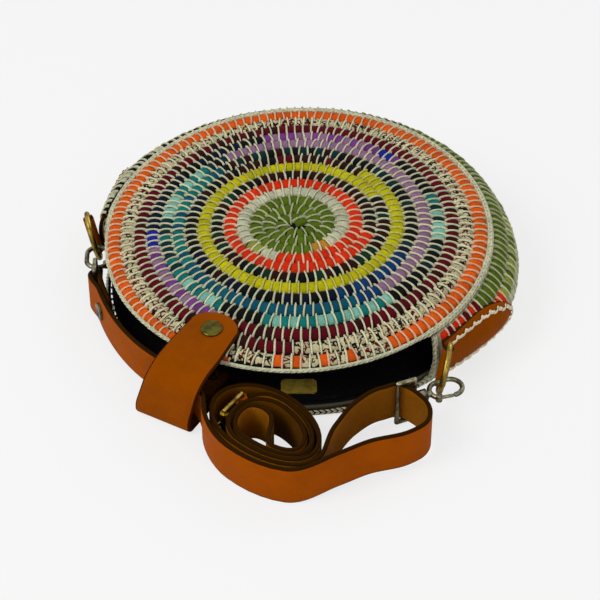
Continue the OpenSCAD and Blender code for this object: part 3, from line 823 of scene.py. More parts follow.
@dataclass
class Spots:
    """Where stitches go.

    Attributes:
        place: Their places (n, 3), in millimetres.
        turn: Their axes as columns (n, 3, 3): along the row, across it, and out of it.
        size: Their lengths along those axes (n, 3), in millimetres.
        tint: Their colours (n, 3).
        marks: How much each is printed (n,).
    """

    place: Array
    turn: Array
    size: Array
    tint: Array
    marks: Array

    def kept(self, mask: Array) -> Spots:
        """The spots where mask is true."""
        return Spots(self.place[mask], self.turn[mask], self.size[mask], self.tint[mask], self.marks[mask])

    @staticmethod
    def joined(parts: Sequence[Spots]) -> Spots:
        """Several sets of spots as one."""
        keys = ("place", "turn", "size", "tint", "marks")
        return Spots(*(np.concatenate([getattr(p, key) for p in parts]) for key in keys))


def axes(along: Array, out: Array) -> Array:
    """Axes of stitches from their row's direction and the surface's outward normal.

    Args:
        along: Directions of the row (n, 3).
        out: Outward normals (n, 3).

    Returns:
        The axes as columns (n, 3, 3).
    """
    out = unit(out)
    along = unit(along - out * np.sum(along * out, -1, keepdims=True))
    return np.stack([along, np.cross(out, along), out], -1)


class StitchShape(Enum):
    """Forms of a single stitch, each in a box of 1 by 1 by 1."""

    CELL = "cell"
    WRAP = "wrap"
    CHAIN = "chain"
    DASH = "dash"


class Crochet:
    """Lays stitches on spots through one Geometry Nodes tree."""

    def __init__(self, finishes: Finishes) -> None:
        """Builds the tree and the single stitches."""
        self.cord, self.thread = finishes.cord, finishes.thread
        self.tree, self.sockets = self._tree()
        self.shapes = {shape: self._shape(shape) for shape in StitchShape}

    @staticmethod
    def _tree() -> tuple[NodeTree, dict[str, str]]:
        """Builds the tree: an instance on each spot, turned and sized by the spot's own values."""
        tree = bpy.data.node_groups.new("Lay stitches", "GeometryNodeTree")
        face = tree.interface
        _, stitch, finish = (
            face.new_socket(name=name, in_out="INPUT", socket_type=f"NodeSocket{kind}")
            for name, kind in (("Spots", "Geometry"), ("Stitch", "Object"), ("Finish", "Material"))
        )
        face.new_socket(name="Stitches", in_out="OUTPUT", socket_type="NodeSocketGeometry")
        w = Shader(tree)
        given, own = w.node("NodeGroupInput").outputs, {}
        for name in ("turn", "size"):
            value = w.node("GeometryNodeInputNamedAttribute", data_type="FLOAT_VECTOR")
            value.inputs["Name"].default_value = name
            own[name] = value.outputs["Attribute"]
        shape = w.node("GeometryNodeObjectInfo", transform_space="ORIGINAL")
        w.feed_all(shape, {"Object": given["Stitch"]})
        euler = w.node("FunctionNodeEulerToRotation")
        w.link(own["turn"], euler.inputs[0])
        laid = w.node("GeometryNodeInstanceOnPoints")
        w.feed_all(laid, {
            "Points": given["Spots"],
            "Instance": shape.outputs["Geometry"],
            "Rotation": euler.outputs[0],
            "Scale": own["size"],
        })
        real = w.node("GeometryNodeRealizeInstances")
        w.feed_all(real, {"Geometry": laid.outputs["Instances"]})
        painted = w.node("GeometryNodeSetMaterial")
        w.feed_all(painted, {"Geometry": real.outputs["Geometry"], "Material": given["Finish"]})
        w.feed_all(w.node("NodeGroupOutput"), {"Stitches": painted.outputs["Geometry"]})
        return tree, {"stitch": stitch.identifier, "finish": finish.identifier}

    @staticmethod
    def _shape(shape: StitchShape) -> Object:
        """Makes the mesh of one stitch, in units of its own box."""
        if shape is StitchShape.CELL:
            points, faces = Crochet._pillow(8, 9)
        elif shape is StitchShape.CHAIN:
            points, faces = Crochet._chain()
        else:
            steps, rise = (9, 1.0) if shape is StitchShape.WRAP else (5, 0.6)
            points, faces = Crochet._wrap(steps, rise)
        made = make_piece(f"stitch_{shape.value}", points / MM, faces, closed=False)
        made.hide_render = True
        return made

    @staticmethod
    def _pillow(columns: int, rows: int) -> tuple[Array, list[tuple]]:
        """A rounded lump, flat below."""
        sink, end_height, corner_cut = 0.08, 0.62, 0.10
        u = np.sin(np.linspace(-np.pi / 2, np.pi / 2, columns)) / 2
        v = np.sin(np.linspace(-np.pi / 2, np.pi / 2, rows)) / 2
        x, y = np.meshgrid(u, v)
        flank = np.clip(1 - np.abs(2 * y) ** 2.4, 0, 1) ** 0.5
        end = np.clip(1 - np.abs(2 * x) ** 5, 0, 1) ** 0.5
        z = flank * (end_height + (1 - end_height) * end) * np.where(end > 0, 1, 0.0) - sink
        round_off = 1 - corner_cut * np.abs(2 * y) ** 6
        return np.stack([x * round_off, y, z], -1).reshape(-1, 3), grid_faces(rows, columns)

    @staticmethod
    def _chain() -> tuple[Array, list[tuple]]:
        """The two slanting lumps of a chain stitch."""
        size, slant, apart = 0.62, 0.55, 0.24
        lump, faces = Crochet._pillow(6, 7)
        lumps = []
        for sign in (1, -1):
            x = lump[:, 0] * size + sign * slant * lump[:, 1]
            lumps.append(np.stack([x, lump[:, 1] * size - sign * apart, lump[:, 2]], -1))
        return np.concatenate(lumps), faces + [tuple(k + len(lump) for k in f) for f in faces]

    @staticmethod
    def _wrap(steps: int, rise: float) -> tuple[Array, list[tuple]]:
        """A thread that arches over the cord: X is its thickness, Y its length."""
        sides, half_length, sink, half_wide, half_deep = 6, 0.53, 0.12, 0.5, 0.22
        t = np.linspace(-1, 1, steps)
        arch = rise * np.sqrt(np.clip(1 - np.abs(t) ** 2.4, 0, 1)) - sink
        path = np.stack([0 * t, half_length * t, arch], -1)
        way = unit(np.gradient(path, axis=0))
        up = np.stack([0 * t, -way[:, 2], way[:, 1]], -1)
        points = []
        for a in 2 * np.pi * np.arange(sides) / sides:
            thick = half_wide * math.cos(a) * np.array([1.0, 0, 0])
            points.append(path + thick + half_deep * math.sin(a) * up)
        return np.stack(points, 1).reshape(-1, 3), grid_faces(steps, sides, round_columns=True)

    def lay(self, name: str, shape: StitchShape, spots: Spots) -> Object:
        """Lays a stitch on every spot.

        Args:
            name: Name of the piece.
            shape: The stitch's form.
            spots: Where the stitches go.

        Returns:
            The piece, as a plain mesh.
        """
        mesh = bpy.data.meshes.new(name)
        mesh.from_pydata((spots.place * MM).tolist(), [], [])
        turns = np.array([Matrix(m.tolist()).to_euler() for m in spots.turn])
        tints = np.concatenate([spots.tint, np.ones((len(spots.tint), 1))], 1)
        for key, kind, field_name, values in (
            ("turn", "FLOAT_VECTOR", "vector", turns),
            ("size", "FLOAT_VECTOR", "vector", spots.size * MM),
            ("tint", "FLOAT_COLOR", "color", tints),
            ("marks", "FLOAT", "value", spots.marks),
        ):
            layer = mesh.attributes.new(key, kind, "POINT")
            layer.data.foreach_set(field_name, np.asarray(values, np.float32).ravel())
        piece = bpy.data.objects.new(name, mesh)
        bpy.context.scene.collection.objects.link(piece)
        layer = piece.modifiers.new("stitches", "NODES")
        layer.node_group = self.tree
        layer[self.sockets["stitch"]] = self.shapes[shape]
        layer[self.sockets["finish"]] = self.cord if shape is StitchShape.CELL else self.thread
        made = bpy.data.meshes.new_from_object(piece.evaluated_get(bpy.context.evaluated_depsgraph_get()))
        piece.modifiers.clear()
        piece.data = made
        bpy.data.meshes.remove(mesh)
        for key in ("turn", "size"):
            if key in made.attributes:
                made.attributes.remove(made.attributes[key])
        made.name = name
        LOG.info("%s: %d stitches, %d faces", name, len(spots.place), len(made.polygons))
        return piece

    def clear(self) -> None:
        """Removes the single stitches."""
        for made in self.shapes.values():
            bpy.data.objects.remove(made)


@dataclass(frozen=True)
class Stretch:
    """A run of a row in one set of colours.

    Attributes:
        until: Where it ends, in turns of a coil or in degrees round the gusset.
        yarns: Its colours, from which each stitch takes one.
    """

    until: float
    yarns: tuple[Yarn, ...]


def stretches(table: str) -> tuple[Stretch, ...]:
    """Reads a row's colours.

    Args:
        table: One stretch to a line: where it ends, then the names of its yarns.

    Returns:
        The stretches.
    """
    rows = (line.split() for line in table.strip().splitlines())
    return tuple(Stretch(float(until), tuple(Yarn[name.upper()] for name in yarns)) for until, *yarns in rows)


FRONT_COIL = stretches("""
    2.80 olive
    2.90 mustard
    3.58 grey_cream
    3.70 lime grey_cream
    4.97 red
    6.07 brown black brown deep_green black
    7.14 yellow
    7.28 black brown maroon
    7.66 black black brown navy
    7.80 black navy
    7.95 blue navy
    8.15 black black dark_teal
    8.36 black dark_teal brown
    8.60 teal sea_blue
    8.83 sea_blue
    8.86 blue
    9.34 lilac
    9.37 black dark_teal
    9.48 mint teal mint
    9.58 dark_teal teal
    9.66 teal mint
    9.71 black
    9.86 mint mint teal
    9.97 black dark_teal black
    10.05 teal mint dark_teal
    10.12 black
    10.16 bright_blue purple
    10.29 purple lilac
    10.46 black navy black
    10.50 navy
    10.53 bright_blue
    10.66 purple lilac
    11.745 maroon maroon maroon maroon brown
    12.72 print
    12.83 print print orange
    14.20 orange
""")


BACK_COIL = stretches("""
    2.9 olive
    4.1 grey_cream
    5.2 red
    6.4 brown black brown deep_green black
    7.6 yellow
    8.8 black navy
    9.9 lilac
    11.0 teal mint
    12.1 maroon
    14.2 orange
""")


@dataclass(frozen=True)
class Coil:
    """A spiral of stitches that fills a disk.

    Attributes:
        stretches: Its colours from the middle outwards.
        first_angle: Angle where each whole turn starts, in degrees.
        step: Length of a stitch along the row.
        rows: Number of rows at the first angle.
        reach: Radius of the last row's outer side.
        seed: Seed of its small irregularities.
        off_centre: Place of the coil's middle in the panel's frame.
        crowd: How much narrower the inner rows are at three quarters of a turn.
        run_out: Parts of a turn where the last row starts to narrow and where it has run out.
    """

    stretches: tuple[Stretch, ...]
    first_angle: float
    step: float
    rows: int
    reach: float
    seed: int
    off_centre: tuple[float, float] = (0.0, 0.0)
    crowd: float = 0.0
    run_out: tuple[float, float] = (0.52, 0.78)

    def rows_at(self, turns: Array) -> Array:
        """Rows between the middle and the rim, in a stitch's direction."""
        part = turns % 1.0
        return self.rows + part - self.spent(part)

    def spent(self, part: Array) -> Array:
        """Share of the last row that has run out at a part of a turn."""
        start, end = self.run_out
        return ease((part - start) / (end - start))

    def width(self, turns: Array) -> Array:
        """Width of a stitch's row, as a share of a full row."""
        last = turns >= self.rows - 1
        return np.where(last, 1 - self.spent(turns % 1.0), 1.0)

    def radius(self, turns: Array) -> Array:
        """Distance of a stitch from the coil's middle."""
        u = (turns + 0.5 * self.width(turns)) / self.rows_at(turns)
        low = self.crowd * np.clip(-np.sin(2 * np.pi * turns), 0, 1) ** 1.5
        return self.reach * (u + low * (u * u - u))

    def pitch(self, turns: Array) -> Array:
        """Distance between two rows at a stitch."""
        return self.reach / self.rows_at(turns)

    def walk(self) -> Array:
        """Places of the stitches along the coil, in turns."""
        first_turn, least_width = 0.06, 0.3
        turns = [first_turn]
        while self.width(np.array(turns[-1])) > least_width:
            around = 2 * math.pi * float(self.radius(np.array(turns[-1])))
            turns.append(turns[-1] + self.step / around)
        return np.array(turns)

    def place(self, turns: Array, out: float = 0.0) -> tuple[Array, Array]:
        """Places in the panel's frame.

        Args:
            turns: Places along the coil.
            out: Extra distance from the middle.

        Returns:
            X and Y.
        """
        r = self.radius(turns)
        a = np.radians(self.first_angle + 360 * turns)
        near = 1 - r / self.reach
        x = (r + out) * np.cos(a) + self.off_centre[0] * near
        return x, (r + out) * np.sin(a) + self.off_centre[1] * near


CORD_SPREAD, THREAD_SPREAD = (0.84, 1.14), (0.92, 1.06)


def dye(
    stretches: Sequence[Stretch], at: Array, rng: np.random.Generator
) -> tuple[Array, Array, Array]:
    """Colours of a row of stitches.

    Args:
        stretches: The row's colours, in order.
        at: The stitches' places, in the measure of the stretches.
        rng: Source of the small differences.

    Returns:
        Cord tints (n, 3), thread tints (n, 3) and print shares (n,).
    """
    ends = np.array([s.until for s in stretches])
    tints, threads, marks = [], [], []
    for place in at:
        yarns = stretches[min(int(np.searchsorted(ends, place)), len(ends) - 1)].yarns
        yarn = yarns[int(rng.integers(len(yarns)))]
        tints.append(np.array(yarn.value) * rng.uniform(*CORD_SPREAD))
        threads.append(thread_tint(yarn) * rng.uniform(*THREAD_SPREAD))
        marks.append(1.0 if yarn is Yarn.PRINT else 0.0)
    return np.clip(np.array(tints), 0, 1), np.clip(np.array(threads), 0, 1), np.array(marks)


# Crochet body.


@dataclass(frozen=True)
class StitchSize:
    """Sizes of the coil's stitches, in millimetres.

    Attributes:
        height: Height of a cord above its groove.
        gap: How much shorter than its step a cord's cell is.
        thread: Thickness of the thread.
        rise: Height of the thread, as a share of the cord's.
        jitter: Unevenness of the stitches' turn, in degrees.
        height_spread: Lowest and highest share of the height.
        length_spread: Lowest and highest share of a cell's length.
        thread_spread: Lowest and highest share of the thread's thickness.
    """

    height: float = 2.3
    gap: float = 0.385
    thread: float = 1.15
    rise: float = 1.12
    jitter: float = 5.0
    height_spread: tuple[float, float] = (0.9, 1.08)
    length_spread: tuple[float, float] = (0.94, 1.04)
    thread_spread: tuple[float, float] = (0.85, 1.15)


class Face(Enum):
    """The two coiled faces."""

    FRONT = "front"
    BACK = "back"


@dataclass(frozen=True)
class CoiledPanel:
    """A disk of coiled crochet: its ground, its cord and its wrapping thread.

    Attributes:
        face: Which face it is.
        coil: The coil that fills it.
        stitch: Sizes of its stitches.
        keep_clear: Place in the panel's frame (x, y) and radius that stays free of stitches, or None.
        under: Least height from the back panel's stitches to the floor.
    """

    face: Face
    coil: Coil
    stitch: StitchSize
    keep_clear: tuple[float, float, float] | None = None
    under: float = 0.1

    def surface(self, body: BodySize, x: Array, y: Array, lift: float) -> Array:
        """Points on the panel.

        Args:
            body: The body's sizes.
            x: Places along X in the panel's frame.
            y: Places along Y in the panel's frame.
            lift: Height above the grooves.

        Returns:
            The points in the bag's frame.
        """
        r = np.hypot(x, y)
        if self.face is Face.FRONT:
            return body.front(np.stack([x, y, body.dome_z(r) + lift], -1))
        return np.stack([x, y, np.full_like(r, body.relief) - lift], -1)

    def spots(self, body: BodySize) -> tuple[Spots, Spots]:
        """Where the cord's cells and its threads go.

        Args:
            body: The body's sizes.

        Returns:
            The cells' spots and the threads' spots.
        """
        rng = np.random.default_rng(self.coil.seed)
        front, size = self.face is Face.FRONT, self.stitch
        turns = self.coil.walk()
        tint, thread, marks = dye(self.coil.stretches, turns, rng)
        x, y = self.coil.place(turns)
        place = self.surface(body, x, y, 0.0)
        half_step = self.coil.step / 2 / (2 * np.pi * np.maximum(self.coil.radius(turns), 1))
        x2, y2 = self.coil.place(turns + half_step)
        between_cells = self.surface(body, x2, y2, 0.0)
        along = between_cells - place
        across = self.surface(body, *self.coil.place(turns, 1.0), 0.0) - place
        out = unit(np.cross(across, along))
        out = out * np.sign(out[:, 2:3]) * (1.0 if front else -1.0)
        sway = np.radians(rng.normal(0, size.jitter, len(turns)))[:, None]
        turn = axes(unit(along) + np.sin(sway) * unit(across), out)
        wide = self.coil.pitch(turns) * self.coil.width(turns)
        n = len(turns)
        high = size.height if front else body.relief - self.under
        long = np.full(n, self.coil.step - size.gap) * rng.uniform(*size.length_spread, n)
        cell = np.stack([long, wide, high * rng.uniform(*size.height_spread, n)], -1)
        thick = size.thread * rng.uniform(*size.thread_spread, n)
        wrap = np.stack([thick, wide, cell[:, 2] * size.rise], -1)
        if not front:
            cell[:, 2] = np.minimum(cell[:, 2], body.relief - self.under)
            wrap[:, 2] = np.minimum(wrap[:, 2], body.relief - self.under - 0.02)
        cells = Spots(place, turn, cell, tint, marks)
        wraps = Spots(between_cells, turn, wrap, thread, marks * 0)
        if self.keep_clear is not None:
            cx, cy, cr = self.keep_clear
            cells = cells.kept(np.hypot(x - cx, y - cy) > cr)
            wraps = wraps.kept(np.hypot(x2 - cx, y2 - cy) > cr)
        return cells, wraps

    def build(self, body: BodySize, crochet: Crochet) -> None:
        """Builds the panel.

        Args:
            body: The body's sizes.
            crochet: What lays the stitches.
        """
        name, front, proud, tone = self.face.value, self.face is Face.FRONT, 0.15, 0.6
        cells, wraps = self.spots(body)
        cord = crochet.lay(f"{name}_coil_cord", StitchShape.CELL, cells)
        thread = crochet.lay(f"{name}_coil_thread", StitchShape.WRAP, wraps)
        rings = np.linspace(0.4, body.panel_r, 29)
        if front:
            outer, inner = body.dome_z(rings) + proud, body.dome_z(rings) - body.front_wall
        else:
            outer, inner = (np.full_like(rings, z) for z in (body.relief - proud, body.back_wall))
        profile = np.concatenate([np.stack([rings, outer], -1), np.stack([rings, inner], -1)[::-1]])
        points, faces = lathe(profile, 120)
        if front:
            points = body.front(points)
            inside = np.arange(len(points)) >= len(points) // 2
        else:
            inside = points[:, 2] > (body.relief + body.back_wall) / 2
        ground = make_piece(f"{name}_coil_ground", points, faces, [crochet.thread])
        tint_points(ground, np.where(inside[:, None], Yarn.BLACK.value, tone * np.array(THREAD)))
        ride_crochet([cord, thread, ground], ground, f"{name}_panel")


def tint_points(piece: Object, tints: Array) -> None:
    """Gives each point of a piece its own stitch tint."""
    colours = np.concatenate([tints, np.ones((len(tints), 1))], 1).astype(np.float32)
    piece.data.attributes.new("tint", "FLOAT_COLOR", "POINT").data.foreach_set("color", colours.ravel())


def ride_crochet(pieces: Sequence[Object], ground: Object, node: str) -> None:
    """Lets crochet ride on the bag.

    Args:
        pieces: Its stitches and the ground under them.
        ground: The one of them that stands for the CAD node.
        node: Name of that node.
    """
    for piece in pieces:
        ride_bag(piece, *([node] if piece is ground else []))


@dataclass(frozen=True)
class GussetRow:
    """One row of the gusset.

    Attributes:
        share: Height of the row's middle, from 0 at the lower edge to 1 at the upper.
        runs: Its colours from the right end anticlockwise, each until an angle in degrees.
        proud: How far its cords stand out past the others at the far side, in millimetres.
    """

    share: float
    runs: tuple[Stretch, ...]
    proud: float = 0.0


GUSSET_ROWS = (
    GussetRow(0.1, stretches("360 grey_cream")),
    GussetRow(0.3, stretches("360 olive olive lime")),
    GussetRow(0.5, stretches("""
        40 grey_cream
        150 grey_cream grey_cream lime
        360 black deep_green grey_cream
    """)),
    GussetRow(0.7, stretches("""
        8 red maroon
        122 olive olive lime
        165 deep_green black
        360 black brown
    """)),
    GussetRow(0.9, proud=2.4, runs=stretches("""
        -1 red red maroon
        86 olive
        108 deep_green black olive
        360 black black black grey_cream
    """)),
)


@dataclass(frozen=True)
class Gusset:
    """The band of crochet between the two panels.

    Attributes:
        rows: Its rows.
        step: Length of a stitch.
        stitch: Sizes of its stitches.
        seed: Seed of its small irregularities.
    """

    rows: tuple[GussetRow, ...]
    step: float
    stitch: StitchSize
    seed: int

    def build(self, body: BodySize, crochet: Crochet) -> None:
        """Builds the gusset: ground, cord and thread."""
        end_gap, swell, tone, proud_from, proud_run = 0.6, 12.0, 0.55, 20.0, 60.0
        rng = np.random.default_rng(self.seed)
        start, end = body.gusset_from + end_gap, body.gusset_to - end_gap
        n = int((end - start) * math.pi / 180 * (body.rim_r + swell) / self.step)
        angle = start + (end - start) * (np.arange(n) + 0.5) / n
        half, size = 0.5 / len(self.rows), self.stitch
        cells, wraps = [], []
        for row in self.rows:
            tint, threads, marks = dye(row.runs, angle, rng)
            for target, shift in ((cells, 0.0), (wraps, 0.5)):
                at = angle + shift * (end - start) / n
                proud = row.proud * ease((at - proud_from) / proud_run)
                place = body.gusset(at, row.share, 1.0, proud)
                along = body.gusset(at + 0.5, row.share, 1.0) - body.gusset(at - 0.5, row.share, 1.0)
                rise = body.gusset(at, row.share + half, 1.0) - body.gusset(at, row.share - half, 1.0)
                sway = np.radians(rng.normal(0, size.jitter, n))[:, None]
                turn = axes(unit(along) + np.sin(sway) * unit(rise), np.cross(along, rise))
                is_cell = target is cells
                if is_cell:
                    long, high = np.linalg.norm(along, axis=-1) * (end - start) / n - size.gap, size.height
                else:
                    long, high = np.full(n, size.thread), size.height * size.rise
                box = np.stack([long, np.linalg.norm(rise, axis=-1), np.full(n, high)], -1)
                box[:, 2] *= rng.uniform(*size.height_spread, n)
                target.append(Spots(place, turn, box, tint if is_cell else threads, marks * is_cell))
        cord = crochet.lay("gusset_cord", StitchShape.CELL, Spots.joined(cells))
        thread = crochet.lay("gusset_thread", StitchShape.WRAP, Spots.joined(wraps))
        angle, share = np.meshgrid(np.linspace(body.gusset_from, body.gusset_to, 110), np.linspace(0, 1, 16))
        points, faces = between(body.gusset(angle, share, 1.0, 0.1), body.gusset(angle, share, -1.0))
        ground = make_piece("gusset_ground", points, faces, [crochet.thread])
        tint_points(ground, np.tile(tone * np.array(THREAD), (len(points), 1)))
        ride_crochet([cord, thread, ground], ground, "gusset")


@dataclass(frozen=True)
class Edging:
    """A crocheted ridge: a round core under a chain of stitches.

    Attributes:
        name: Name of the piece.
        node: CAD node that it stands for.
        seed: Seed of its small irregularities.
        step: Length of a stitch.
        closed: True if it goes all the way round.
        chain_spin: Side of the ridge that keeps its chain where the core is painted black as shade, in
            degrees.
    """

    name: str
    node: str
    seed: int
    step: float = 3.1
    closed: bool = True
    chain_spin: float = 60.0

    def build(
        self, path: Array, outward: Array, radius: Array, crochet: Crochet, mouth_shade: Array | None = None
    ) -> None:
        """Builds the ridge along a path.

        Args:
            path: Points of its middle line (n, 3).
            outward: The side on which the chain lies, at each point (n, 3).
            radius: Radius of the ridge at each point (n,).
            crochet: What lays the stitches.
            mouth_shade: Share, at each point, to which the core is painted black as shade below its top
                chain, or None.
        """
        sides, core, core_tone, cream_share = 10, 0.76, 0.42, 0.45
        long, wide, high, lift = 1.25, 1.3, 0.5, 0.47
        size_spread, tone_spread = (0.88, 1.08), (0.85, 1.1)
        rng = np.random.default_rng(self.seed)
        way = unit(np.roll(path, -1, 0) - np.roll(path, 1, 0) if self.closed else np.gradient(path, axis=0))
        side = unit(np.cross(way, outward))
        up = unit(np.cross(side, way))
        turn = (2 * np.pi * np.arange(sides) / sides)[None, :, None]
        grid = np.cos(turn) * up[:, None] + np.sin(turn) * side[:, None]
        grid = path[:, None] + core * radius[:, None, None] * grid
        faces, count = grid_faces(len(path), sides, self.closed, True), len(path) * sides
        if not self.closed:
            faces += [tuple(range(sides)), tuple(range(count - 1, count - 1 - sides, -1))]
        ground = make_piece(f"{self.name}_core", grid, faces, [crochet.thread])
        # At the mouth the core is painted black and loses most of its chain: painted shade below the top
        # chain.
        shade_share = np.zeros(len(path)) if mouth_shade is None else mouth_shade
        bare, cloth = core_tone * np.array(THREAD), np.array(Yarn.BLACK.value)
        shade = (1 - shade_share[:, None]) * bare + shade_share[:, None] * cloth
        tint_points(ground, np.repeat(shade, sides, axis=0))
        ring = np.concatenate([path, path[:1]]) if self.closed else path
        lengths = lengths_along(ring)
        n = max(3, int(lengths[-1] / self.step))
        cream = np.array(mix_rgb(Yarn.GREY_CREAM.value, THREAD, cream_share))
        parts = []
        for spin in (-60.0, 0.0, 60.0, 180.0):
            at = (np.arange(n) + (0.5 if spin else 0.0)) % n * lengths[-1] / n
            where = np.clip(np.searchsorted(lengths, at, side="right") - 1, 0, len(path) - 1)
            c, s = polar(1, spin)
            out, r = up[where] * c + side[where] * s, radius[where]
            size = np.stack([np.full(n, self.step * long), r * wide, r * high], -1)
            size = size * rng.uniform(*size_spread, (n, 1))
            tint = cream * rng.uniform(*tone_spread, (n, 1))
            place = sample(ring, lengths, at) + out * r[:, None] * lift
            spots = Spots(place, axes(way[where], out), size, tint, np.zeros(n))
            # Where the core is painted black as shade, only the chain on one side stays.
            parts.append(spots.kept((shade_share[where] < 0.5) | (spin == self.chain_spin)))
        chain = crochet.lay(f"{self.name}_chain", StitchShape.CHAIN, Spots.joined(parts))
        ride_crochet([ground, chain], ground, self.node)


def mix_rgb(a: Rgb, b: Rgb, share: float) -> Rgb:
    """A colour between two."""
    return tuple(p * (1 - share) + q * share for p, q in zip(a, b))


def lengths_along(points: Array) -> Array:
    """Length of a line of points up to each of them."""
    return np.concatenate([[0], np.cumsum(np.linalg.norm(np.diff(points, axis=0), axis=1))])


def sample(points: Array, lengths: Array, at: Array) -> Array:
    """Points at given lengths along a path."""
    return np.stack([np.interp(at, lengths, points[:, k]) for k in range(points.shape[1])], -1)


@dataclass(frozen=True)
class Linings:
    """The black cloth inside: front, back and gusset.

    Attributes:
        cloth: Thickness of the cloth.
        gap: Space between the cloth and a panel.
        gusset_gap: Space between the cloth and the gusset.
        ripple: Height of its soft ripples.
        waves: Length of the ripples along X, along Y and aslant.
        flat_rim: Width at the rim over which the ripples fade.
        seed: Seed of the ripples.
    """

    cloth: float = 1.0
    gap: float = 0.2
    gusset_gap: float = 0.3
    ripple: float = 0.35
    waves: tuple[float, float, float] = (9.0, 13.0, 6.0)
    flat_rim: float = 10.0
    seed: int = 41

    def build(self, body: BodySize, finishes: Finishes) -> None:
        """Builds the three linings."""
        back_limits, front_limits, gusset_shares, slant_share = (-0.3, 0.2), (-0.4, 0.3), (0.06, 0.94), 0.6
        phase = np.random.default_rng(self.seed).uniform(0, 2 * np.pi, 6)
        r, a = np.meshgrid(np.linspace(0.5, body.lining_r, 40), np.linspace(0, 2 * np.pi, 121))
        x, y = r * np.cos(a), r * np.sin(a)
        along_x, along_y, aslant = self.waves
        wave = np.sin(x / along_x + phase[0]) * np.sin(y / along_y + phase[1])
        wave = self.ripple * (wave + slant_share * np.sin((x + y) / aslant + phase[2]))
        wave = wave * ease((body.lining_r - r) / self.flat_rim)
        low, drop = body.back_wall + self.gap, body.front_wall + self.gap
        back = low + self.cloth + np.clip(wave, *back_limits)
        front = body.dome_z(r) - drop - self.cloth + np.clip(wave, *front_limits)
        angles = np.linspace(body.gusset_from, body.gusset_to, 90)
        angle, share = np.meshgrid(angles, np.linspace(*gusset_shares, 12))
        gusset, inner = (body.gusset(angle, share, -1.0, -self.gusset_gap - t) for t in (0.0, self.cloth))
        for name, upper, lower in (
            ("back", np.stack([x, y, back], -1), np.stack([x, y, np.full_like(x, low)], -1)),
            ("front", *(body.front(np.stack([x, y, z], -1)) for z in (body.dome_z(r) - drop, front))),
            ("gusset", gusset, inner),
        ):
            piece = make_piece(f"{name}_lining_cloth", *between(upper, lower), [finishes.lining])
            ride_bag(piece, f"{name}_lining")


# Leather.


class Cut(IntEnum):
    """Faces of a cut leather, by the place of their material."""

    GRAIN = 0
    FLESH = 1
    EDGE = 2
    # The grain face inside the roll, darker: painted shade.
    ROLLED = 3


@dataclass(frozen=True)
class Hide:
    """The looks of a cut leather: its grain face, its flesh face, its edge, and a darker grain face that
    paints the shade inside the strap's roll.
    """

    grain: Material
    flesh: Material
    edge: Material
    rolled: Material | None = None

    def materials(self) -> list[Material]:
        """The materials in the order of Cut."""
        return [self.grain, self.flesh, self.edge, *([self.rolled] if self.rolled else [])]


def leather_strip(
    name: str,
    middle: Array,
    grain: Array,
    wide: Array,
    half_width: Array,
    thickness: float,
    hide: Hide,
    roll_shade_from: int | None = None,
) -> Object:
    """A band of leather with rounded, burnished edges.

    Args:
        name: Name of the piece.
        middle: Middle line of the band (n, 3).
        grain: Directions out of the grain face (n, 3).
        wide: Directions across the band (n, 3).
        half_width: Half widths (n,).
        thickness: Thickness of the leather.
        hide: Its materials.
        roll_shade_from: Point from which the grain face is darker, as painted shade inside the roll, or None.

    Returns:
        The piece.
    """
    across = (-1.0, -0.6, -0.2, 0.2, 0.6, 1.0)
    edge = ((0.25, 0.74), (0.0, 0.3), (0.0, -0.3), (0.25, -0.74))
    corner, half = min(1.1, thickness * 0.4), thickness / 2
    section, kind = [], []
    for sign, face in ((1, Cut.GRAIN), (-1, Cut.FLESH)):
        section += [(sign * a, -corner * sign * a if abs(a) == 1 else 0.0, sign * half) for a in across]
        section += [(sign, -sign * corner * cut, sign * half * rise) for cut, rise in edge]
        kind += [face] * 5 + [Cut.EDGE] * 5
    share, inset, out = np.array(section).T
    width = share[None, :] * half_width[:, None] + inset[None, :]
    grid = middle[:, None] + width[..., None] * wide[:, None] + out[None, :, None] * grain[:, None]
    n, m = grid.shape[:2]
    faces = [*grid_faces(n, m, round_columns=True), tuple(range(m)), tuple(range((n - 1) * m, n * m))]
    dark_from = n if roll_shade_from is None else roll_shade_from
    slots = [Cut.ROLLED if k is Cut.GRAIN and i >= dark_from else k for i in range(n - 1) for k in kind]
    return make_piece(name, grid, faces, hide.materials(), [*slots, Cut.EDGE, Cut.EDGE])


def turned(turn: Sequence[float]) -> Array:
    """Matrix of turns about X, then Y, then Z, in degrees."""
    spin = np.eye(3)
    for axis, angle in zip("XYZ", turn):
        spin = np.array(Matrix.Rotation(math.radians(angle), 3, axis)) @ spin
    return spin


class Side(Enum):
    """The two ends of the mouth."""

    LEFT = "left"
    RIGHT = "right"


